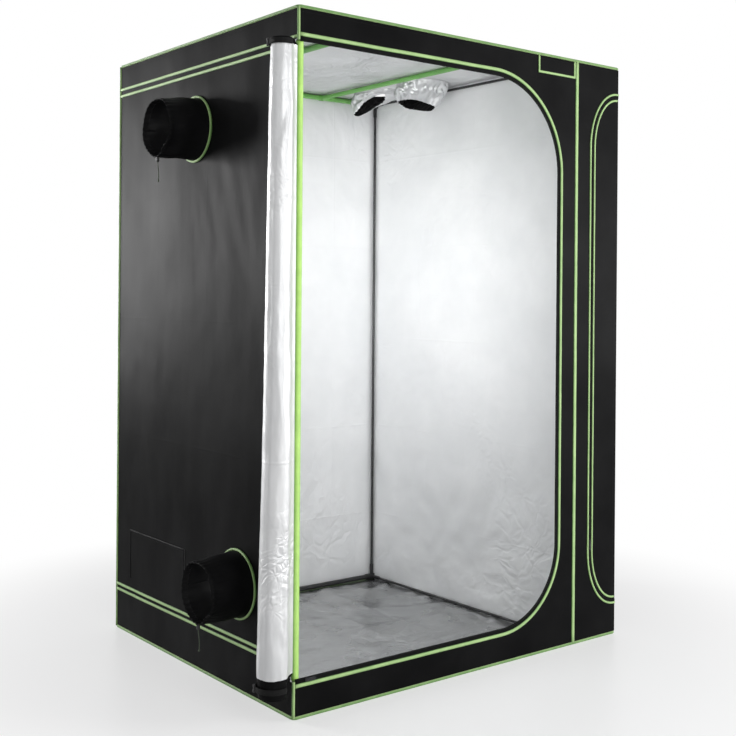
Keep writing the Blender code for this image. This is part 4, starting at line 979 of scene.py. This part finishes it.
# The side door: one canvas panel, zipped shut, with its own zip half and a second green bead just
# inside the zip. It opens on its straight edge at the front right corner.
# The doors' film is kept at 0.42 of its full brightness, painted shade that holds down the lamps' highlight
# on it.
door_film = film_finish("silver door film", 1.2, 0.42, 0.36, 0.44, above=0.3, dents=30.0, smooth=0.46)
trim_end = SIDE_END - 0.006
hang_panel("side_door_cloth", [side_edge(0.0130)], FACING_FRONT, (0, -WALL_Y, 0), slack(71.0, 0.0025, 0.0012),
           [canvas, door_film], "side_door", body="side_door", fade=0.05)
sew_on_front("side_door_tape", side_doorway(0.0162, trim_end), FRONT_FACE, band_section(0.0060, 0.0009), 12,
             zip_tape, "side_door", body="side_door")
sew_on_front("side_door_bead", side_doorway(0.0215, trim_end), FRONT_FACE, ridge_section(0.008, 0.0029), 14,
             green_tape, "side_door", body="side_door", wobble=0.0004)


# The main door, rolled up at the near corner: one sheet wound six times, silver side out, whose
# last part runs to the post sleeve. Its ends are bound with black canvas.
ROLL_LOW = 0.075
ROLL_HIGH = 1.930
ROLL_TURNS = 6
ROLL_COLUMNS = 264
ROLL_ROWS = 128
TAIL_SHARE = 0.045
HINGE_LOW = 0.120
HINGE_HIGH = 1.924
HINGE_REACH = 0.0122
ROLL_TOUCHES = -0.704
ROLL_Y = -0.546
ROLL_END = math.radians(300)
CORE_RADIUS = 0.011
ROLL_INSET = 0.0010
HEM_LOW, HEM_HIGH = 0.131, 1.915
TIE_HEIGHT = 0.016
TIE_PLACES = {"top": 1.918, "bottom": 0.101}
DOOR_FLAT = (1.10, 1.85)


def roll_middle(z):
    """The roll's middle and radius at a height: slimmer at its top, drawn in at its foot."""
    radius = 0.050 - 0.015 * (z - ROLL_LOW) / (ROLL_HIGH - ROLL_LOW)
    middle = Vector((ROLL_TOUCHES - radius, ROLL_Y, z))
    radius -= 0.006 * max(0.0, 1 - (z - ROLL_LOW) / 0.060)
    return middle, radius


def roll_wrinkle(turn, z):
    """Long pulls down the roll, a lap that winds round it, and creases near its foot and its ties."""
    degrees = math.degrees(turn)
    pulls = noise_round(turn, 1.3, 1.7 * z) * 0.0040
    rise = smooth_step(max(0.0, min(1.0, (z - 1.50) / 0.38)))
    past = degrees - (208 + 106 * rise + 7 * ripple(4.0 * z, 0.0, 1.0))
    pulls += 0.0017 * math.tanh(past / 3.5) * bell(past, 0, 75)
    pinched = (bell(z, 0.50, 0.045) + bell(z, 0.27, 0.035)) * bell(degrees, 265, 30)
    pulls += 0.0075 * pinched * noise_round(turn, 6, 34 * z)
    slant = spoke(turn, 3.0, 9.0 * z) + Vector((4.0 * z, 0, 0))
    crease = (1 - min(1.0, 2.4 * abs(noise.noise(slant)))) ** 2
    foot = bell(z, 0.30, 0.16) + 0.6 * bell(z, 1.0, 0.25)
    ties = bell(z, TIE_PLACES["bottom"], 0.05) + bell(z, TIE_PLACES["top"], 0.04)
    ends = max(0.25, min(1.0, (z - ROLL_LOW) / 0.06, (ROLL_HIGH - z) / 0.06))
    return (pulls - crease * (0.0010 + 0.0028 * foot)) * ends - 0.0012 * ties


def door_point(round_share, height_share):
    """A point of the wound sheet: round_share goes from the hinge to the roll's core."""
    z = ROLL_LOW + (ROLL_HIGH - ROLL_LOW) * height_share
    middle, radius = roll_middle(z)
    if z < HINGE_LOW or z > HINGE_HIGH:
        round_share = max(round_share, TAIL_SHARE)
    if round_share >= TAIL_SHARE:
        wound = (round_share - TAIL_SHARE) / (1 - TAIL_SHARE)
        turn = ROLL_END - TURN * ROLL_TURNS * wound
        loosen = 0.35 + 0.65 * (1 - wound) ** 6
        reach = radius - ROLL_INSET - (radius - CORE_RADIUS) * wound
        return middle + spoke(turn) * (reach + roll_wrinkle(turn, z) * loosen)
    start = middle + spoke(ROLL_END) * (radius - ROLL_INSET + roll_wrinkle(ROLL_END, z))
    hinge = Vector((*POST, z)) + spoke(math.radians(HINGE_TURN)) * HINGE_REACH
    share = round_share / TAIL_SHARE
    bow = -math.sin(math.pi * share) * (0.0042 + 0.0010 * ripple(0, 3.0, 9.0 * z))
    return hinge.lerp(start, share) + Vector((0.35, -0.93, 0)) * bow


# The roll's film is kept at 0.68 of its full brightness: painted shade.
roll_film = film_finish("silver roll film", 1.5, 0.68, 0.36, 0.36, above=0.3, dents=30.0, smooth=0.42)
hem_finish = canvas_finish("black hem canvas", 1.1)
shape = bent_grid(ROLL_COLUMNS, ROLL_ROWS, door_point, lambda a, b: (a * DOOR_FLAT[0], b * DOOR_FLAT[1]))
middles = [face.calc_center_median() for face in shape.faces]
facing = [face.normal.dot(at - roll_middle(at.z)[0]) for face, at in zip(shape.faces, middles)]
if sum(facing) < 0:
    bmesh.ops.reverse_faces(shape, faces=shape.faces)
for face, at in zip(shape.faces, middles):
    if not HEM_LOW <= at.z <= HEM_HIGH:
        face.material_index = 2
rolled = add_piece("rolled_door_cloth", shape, [roll_film, canvas, hem_finish, hem_finish], "main_door",
                   ["rolled_main_door"])
thicken(rolled, SLEEVE_CLOTH, back=1)


# The roll's ties: black webbing straps round its top and foot, each closed by a barrel toggle.
BARREL = ((0.0014, -0.0106), (0.0034, -0.0110), (0.0043, -0.0096), (0.0045, -0.0060), (0.0036, -0.0040),
          (0.0033, 0.0), (0.0036, 0.0040), (0.0045, 0.0060), (0.0043, 0.0096), (0.0034, 0.0110),
          (0.0014, 0.0106))

webbing = Finish("black webbing", Specular_IOR_Level=0.07, Sheen_Weight=0.03)
across, along, _ = webbing.axes(webbing.space("UV"))
chevron = (along * (TURN / 0.0022) + wave(across, 0.005) * 3.0).sine() * 0.5 + 0.5
webbing.give(Base_Color=webbing.mixed(chevron, (0.004, 0.004, 0.004), (0.013, 0.013, 0.013)), Roughness=0.65,
             Normal=webbing.raised(chevron, 0.0004))

for end, height in TIE_PLACES.items():
    middle, radius = roll_middle(height - TIE_HEIGHT / 2 if end == "bottom" else height)
    radius = max(radius, roll_middle(height + TIE_HEIGHT / 2)[1]) + 0.0011
    loop = [(*point, height) for point in arc(middle.xy, (radius, radius), 2, 292, 72)]
    strap = sweep(loop, (0, 0, 1), strap_section(TIE_HEIGHT, 0.0016), 16)
    add_piece(f"tie_strap_{end}", strap, [webbing], "main_door", [f"roll_tie_{end}"])
    seat = middle.xy + spoke(math.radians(150)).xy * (radius + 0.0032)
    barrel = bmesh.new()
    points = [barrel.verts.new((*(seat + Vector((r, 0))), height + z)) for r, z in BARREL]
    ring = [barrel.edges.new(pair) for pair in zip(points, points[1:] + points[:1])]
    bmesh.ops.spin(barrel, geom=points + ring, cent=(*seat, height), axis=(0, 0, 1), angle=2 * math.pi,
                   steps=24, use_merge=True)
    bmesh.ops.remove_doubles(barrel, verts=barrel.verts, dist=WELD)
    bmesh.ops.recalc_face_normals(barrel, faces=barrel.faces)
    add_piece(f"tie_toggle_{end}", barrel, [moulded], "main_door", [f"roll_tie_{end}"])


# The left wall's two duct sleeves: tubes of canvas sewn to a piped green ring, drawn in at the
# mouth by a cord that runs in a hem. They hang out from the wall and droop a little.
DUCT_LENGTH = 0.145
DUCT_RADIUS = 0.0997
DUCT_FLAT = (0.63, 0.17)
DUCT_DROOP = 0.007
MOUTH_RADIUS = 0.091
OUTSIDE_SHARE = 0.86
HEM_SHARE = 1 - 0.016 / DUCT_LENGTH
RING_RADIUS, RING_THICKNESS = 0.104, 0.004

sleeve_canvas = canvas_finish("black sleeve canvas", 1.5)
sleeve_lining = canvas_finish("dark sleeve lining", 1.3)


def duct_point(seed):
    def place(round_share, along_share):
        """A point of the cloth: out along the sleeve, then turned in at the mouth as the hem."""
        turn = TURN * round_share
        out = min(1.0, along_share / OUTSIDE_SHARE)
        radius = DUCT_RADIUS + (MOUTH_RADIUS - DUCT_RADIUS) * out
        radius += 0.0016 * out ** 2 * math.cos(5 * (turn + math.pi / 2))
        radius -= 0.009 * out ** 3 * bell(math.degrees(turn), 232, 13)
        gather = 0.0018 * out ** 5 * math.sin(31 * turn + 2 * ripple(turn, seed, 0))
        folds = noise_round(turn, 1.6, 2.4 * out + seed) * 0.006 * math.sin(math.pi * out) ** 0.7
        if out > HEM_SHARE:
            radius += 0.0015 * math.sin(math.pi * min(1.0, (out - HEM_SHARE) / (1 - HEM_SHARE)))
        x = 0.0006 - DUCT_LENGTH * out
        if along_share > OUTSIDE_SHARE:
            turned = (along_share - OUTSIDE_SHARE) / (1 - OUTSIDE_SHARE)
            x += 0.020 * turned ** 1.2
            radius -= 0.0030 * math.sin(math.pi * min(1.0, turned * 3) / 2) + 0.0010 * turned
        radius += gather + folds
        return Vector((x, radius * math.cos(turn), radius * math.sin(turn) - DUCT_DROOP * out ** 2))
    return place


for index, (end, (y, z)) in enumerate(LEFT_VENTS.items()):
    centre = Vector((-WALL_X, y, z))
    shape = tube(128, 44, duct_point(3.7 * index + 1.0), *DUCT_FLAT)
    bmesh.ops.translate(shape, verts=shape.verts, vec=centre)
    duct = add_piece(f"{end}_sleeve_cloth", shape, [sleeve_canvas, sleeve_lining], "tent",
                     [f"{end}_vent_sleeve"])
    thicken(duct, 0.0010, -1.0, back=1)
    path = [centre + Vector((-0.0049, a, b)) for a, b in circle((0, 0), RING_RADIUS, 72)]
    shape = sweep(path, (1, 0, 0), round_section(RING_THICKNESS), 14, closed=True, wobble=0.0004)
    add_piece(f"{end}_ring_tape", shape, [green_tape], "tent", [f"{end}_vent_ring"])


# The roof's two duct sleeves, pushed down inside the tent: silver outside, black inside, and
# gathered flat, so that their slanting mouths show dark from the doorway.
ROOF_CHART = (0.63, 0.12)
TOWARDS_DOORWAY = (-0.617, -0.787)
# The roof sleeves' film is kept at 0.84 of its full brightness: painted shade.
roof_film = film_finish("silver sleeve film", 2.0, 0.84, 0.75, 0.28)


def roof_duct_point(vent, seed):
    turned = math.radians(vent["turn"])

    def place(round_share, along_share):
        turn = TURN * round_share
        ease = along_share ** 1.5
        belly = math.sin(math.pi * along_share)
        gather = 0.004 * ease * math.cos(5 * turn) + 0.0022 * along_share ** 3 * math.sin(23 * turn)
        gather += 0.010 * belly * noise_round(turn, 2.4, 3.0 * along_share + seed)
        gather += 0.009 * belly * (1 - 2.6 * abs(noise_round(turn, 6.5, 3.5 * along_share + seed + 3.0)))
        length, width = (DUCT_RADIUS + (vent[half] - DUCT_RADIUS) * ease + gather
                         for half in ("half_length", "half_width"))
        width *= 1 - vent["taper"] * ease * math.cos(turn - turned)
        a, b = length * math.cos(turn - turned), width * math.sin(turn - turned)
        x = a * math.cos(turned) - b * math.sin(turned) + vent["shift"][0] * ease
        y = a * math.sin(turned) + b * math.cos(turned) + vent["shift"][1] * ease
        slant = vent["tilt"] * ease * math.cos(turn - turned)
        nearness = 0.5 + 0.5 * (TOWARDS_DOORWAY[0] * math.cos(turn) + TOWARDS_DOORWAY[1] * math.sin(turn))
        slant += vent["lift"] * along_share * nearness ** 1.3
        z = ROOF_Z + 0.0006 - vent["drop"] * along_share + slant
        return Vector((vent["place"][0] + x, vent["place"][1] + y, z))
    return place


for index, (end, vent) in enumerate(ROOF_VENTS.items()):
    shape = tube(120, 30, roof_duct_point(vent, 5.1 * index), *ROOF_CHART)
    duct = add_piece(f"roof_sleeve_cloth_{end}", shape, [roof_film, sleeve_canvas], "tent",
                     [f"roof_vent_sleeve_{end}"])
    thicken(duct, CLOTH, back=1)


# The vent window low on the left wall: a fine mesh screen sewn inside the wall, and a canvas flap
# hemmed on three sides that closes over it from outside.
SCREEN_MARGIN = 0.012
SCREEN_PITCH = 0.0032
HALF_THREAD = 0.00044
THREAD_DEPTH = 0.0003
BINDING_WIDTH = 0.010
screen = bmesh.new()
low = Vector((WINDOW_LOW[0] + SCREEN_MARGIN, WINDOW_LOW[1] + SCREEN_MARGIN))
high = Vector((WINDOW_HIGH[0] - SCREEN_MARGIN, WINDOW_HIGH[1] - SCREEN_MARGIN))
screen_x = -WALL_X + CLOTH / 2 + GAP + 0.0005


def span(low, high):
    return high[0] - low[0], high[1] - low[1]


def thread(start, end):
    """A thread of the screen, as a box between two opposite corners."""
    start, end = Vector(start), Vector(end)
    size = Matrix.Diagonal((*(end - start), 1.0))
    bmesh.ops.create_cube(screen, size=1.0, matrix=Matrix.Translation((start + end) / 2) @ size)


columns, rows = (round(reach / SCREEN_PITCH) for reach in span(low, high))
for column in range(columns + 1):
    y = low.x + (high.x - low.x) * column / columns
    thread((screen_x - THREAD_DEPTH, y - HALF_THREAD, low.y), (screen_x, y + HALF_THREAD, high.y))
for row in range(rows + 1):
    z = low.y + (high.y - low.y) * row / rows
    thread((screen_x, low.x, z - HALF_THREAD), (screen_x + THREAD_DEPTH, high.x, z + HALF_THREAD))
net = add_piece("screen_mesh", screen, [teeth_finish], "tent", ["vent_screen"])
inset = Vector((BINDING_WIDTH, BINDING_WIDTH)) / 2
border = [(screen_x - 0.0005, a, b) for a, b in rectangle(low + inset, high - inset)]
loop = resampled(border + border[:1], 0.02)[:-1]
shape = sweep(loop, (1, 0, 0), band_section(BINDING_WIDTH, 0.0011), 12, closed=True)
add_piece("screen_binding", shape, [webbing], "tent", ["vent_screen"])

FLAP_X = -WALL_X - CLOTH - GAP
FLAP_HEM = 0.008
# The flap's canvas is painted darker than the wall's, at 0.8 of it, as painted shade, so that the flap and
# its hem read as a dark outline.
flap_canvas_painted_shade = canvas_finish("black flap canvas", 0.8)


def flap_slack(a, b):
    return 0.0012 * ripple(6 * a, 8 * b, 2.0) - 0.0002


hang_panel("vent_flap_cloth", [rectangle(WINDOW_LOW, WINDOW_HIGH)], FACING_SIDE, (FLAP_X, 0, 0), flap_slack,
           [door_film, flap_canvas_painted_shade], "vent_flap", body="vent_flap", step=0.012, fade=0.03)


def three_sides(low, high, inset, open_edge):
    """A line inside a rectangle's sides, less the side that is at a height."""
    left, right = low[0] + inset, high[0] - inset
    across = high[1] - inset if open_edge == low[1] else low[1] + inset
    return [(left, open_edge), (left, across), (right, across), (right, open_edge)]


# The hem is sewn in the same darkened canvas: a painted dark line of shade round the flap.
hem = three_sides(WINDOW_LOW, WINDOW_HIGH, FLAP_HEM / 2, WINDOW_LOW[1])
path = resampled([(FLAP_X - CLOTH / 2, a, b) for a, b in hem], 0.02)
shape = sweep(path, (-1, 0, 0), ridge_section(FLAP_HEM, 0.0011), 12, wobble=0.0004)
add_piece("vent_flap_hem", shape, [flap_canvas_painted_shade], "vent_flap", ["vent_flap"])


# The label pocket at the top of the front: a small black panel, left bare, bound in green on
# three sides and sewn into the top seam.
POCKET_LOW, POCKET_HIGH = (0.282, 1.9627), (0.465, WALL_TOP)
pocket = cut_cloth([rectangle(POCKET_LOW, POCKET_HIGH)], 0.008)
ruffle(pocket, lambda a, b: 0.0004 + 0.0004 * ripple(30 * a, 30 * b, 1.0), 0.02)
bmesh.ops.transform(pocket, matrix=Matrix.Translation((0, SEWN_FACE - 0.0006, 0)) @ FACING_FRONT,
                    verts=pocket.verts)
label = add_piece("label_pocket_cloth", pocket, [canvas, canvas], "tent", ["label_pocket"])
thicken(label, 0.0010)
binding = three_sides(POCKET_LOW, POCKET_HIGH, 0.0032, POCKET_HIGH[1])
sew_on_front("label_pocket_binding", binding, SEWN_FACE - 0.0009, ridge_section(0.0084, 0.0020), 12,
             green_tape, "label_pocket", step=0.01)


# The studio: a pale floor with a soft sheen, a white surround, and large soft lamps. The surround
# shows white to the camera and in reflections, and lights the tent at two fifths of that.
WHITE = (1, 1, 1, 1)
floor_finish = Finish("studio floor", Base_Color=(0.86, 0.86, 0.87, 1), Roughness=0.35,
                      Specular_IOR_Level=0.35)
x, y, _ = floor_finish.axes(floor_finish.space("Object"))
away = (x * x + y * y).eased(0.8, 3.8, 0.50, 1.0)
seen = floor_finish.node("ShaderNodeLightPath", {}, {}, "Is Camera Ray")
glow = floor_finish.node("ShaderNodeEmission", {}, {"Color": WHITE, "Strength": 1.0})
lit = Value(floor_finish, floor_finish.shader.outputs[0])
blend = floor_finish.node("ShaderNodeMixShader", {}, {0: away * seen, 1: lit, 2: glow})
floor_finish.feed(floor_finish.tree.nodes["Material Output"].inputs["Surface"], blend)
ground = bmesh.new()
bmesh.ops.create_circle(ground, cap_ends=True, segments=96, radius=14.0)
floor = new_object("studio_floor", new_mesh("studio_floor", ground, [floor_finish]))
floor.location.z = -0.0005

world = bpy.data.worlds.new("studio")
bpy.context.scene.world = world
sky = Nodes(world)
sky.tree.nodes.clear()
rays = sky.node("ShaderNodeLightPath", {}, {}).socket.node.outputs
camera_ray, through, glossy = (Value(sky, rays[f"Is {kind} Ray"])
                               for kind in ("Camera", "Transmission", "Glossy"))
shown = camera_ray.greater(through).greater(glossy)
background = sky.node("ShaderNodeBackground", {}, {"Color": WHITE, "Strength": shown * 0.60 + 0.40})
sky.feed(sky.tree.nodes.new("ShaderNodeOutputWorld").inputs["Surface"], background)


def add_lamp(name, place, target, size, power, spread=180):
    lamp = new_object(name, bpy.data.lights.new(name, "AREA"))
    lamp.data.shape = "RECTANGLE"
    lamp.data.size, lamp.data.size_y = size
    lamp.data.energy = power
    lamp.data.spread = math.radians(spread)
    lamp.location = place
    lamp.rotation_euler = (Vector(target) - Vector(place)).to_track_quat("-Z", "Y").to_euler()
    lamp.visible_camera = False


add_lamp("key", (-0.9, -4.2, 1.7), (0.0, 0.3, 1.1), (2.2, 2.0), 58)
add_lamp("fill", (-4.2, -2.4, 2.0), (-0.7, -0.4, 1.0), (2.0, 2.0), 8)
add_lamp("rim", (-2.45, 3.9, 1.66), (-0.7, 0.55, 1.40), (0.8, 1.4), 28, 66)
add_lamp("side", (3.3, -3.6, 1.45), (0.3, -0.56, 1.35), (2.2, 1.3), 70, 120)
add_lamp("inner", (-0.56, -0.36, 1.30), (0.40, 0.20, 1.30), (0.35, 0.8), 2.4, 96)
bpy.context.scene.view_settings.view_transform = "Standard"
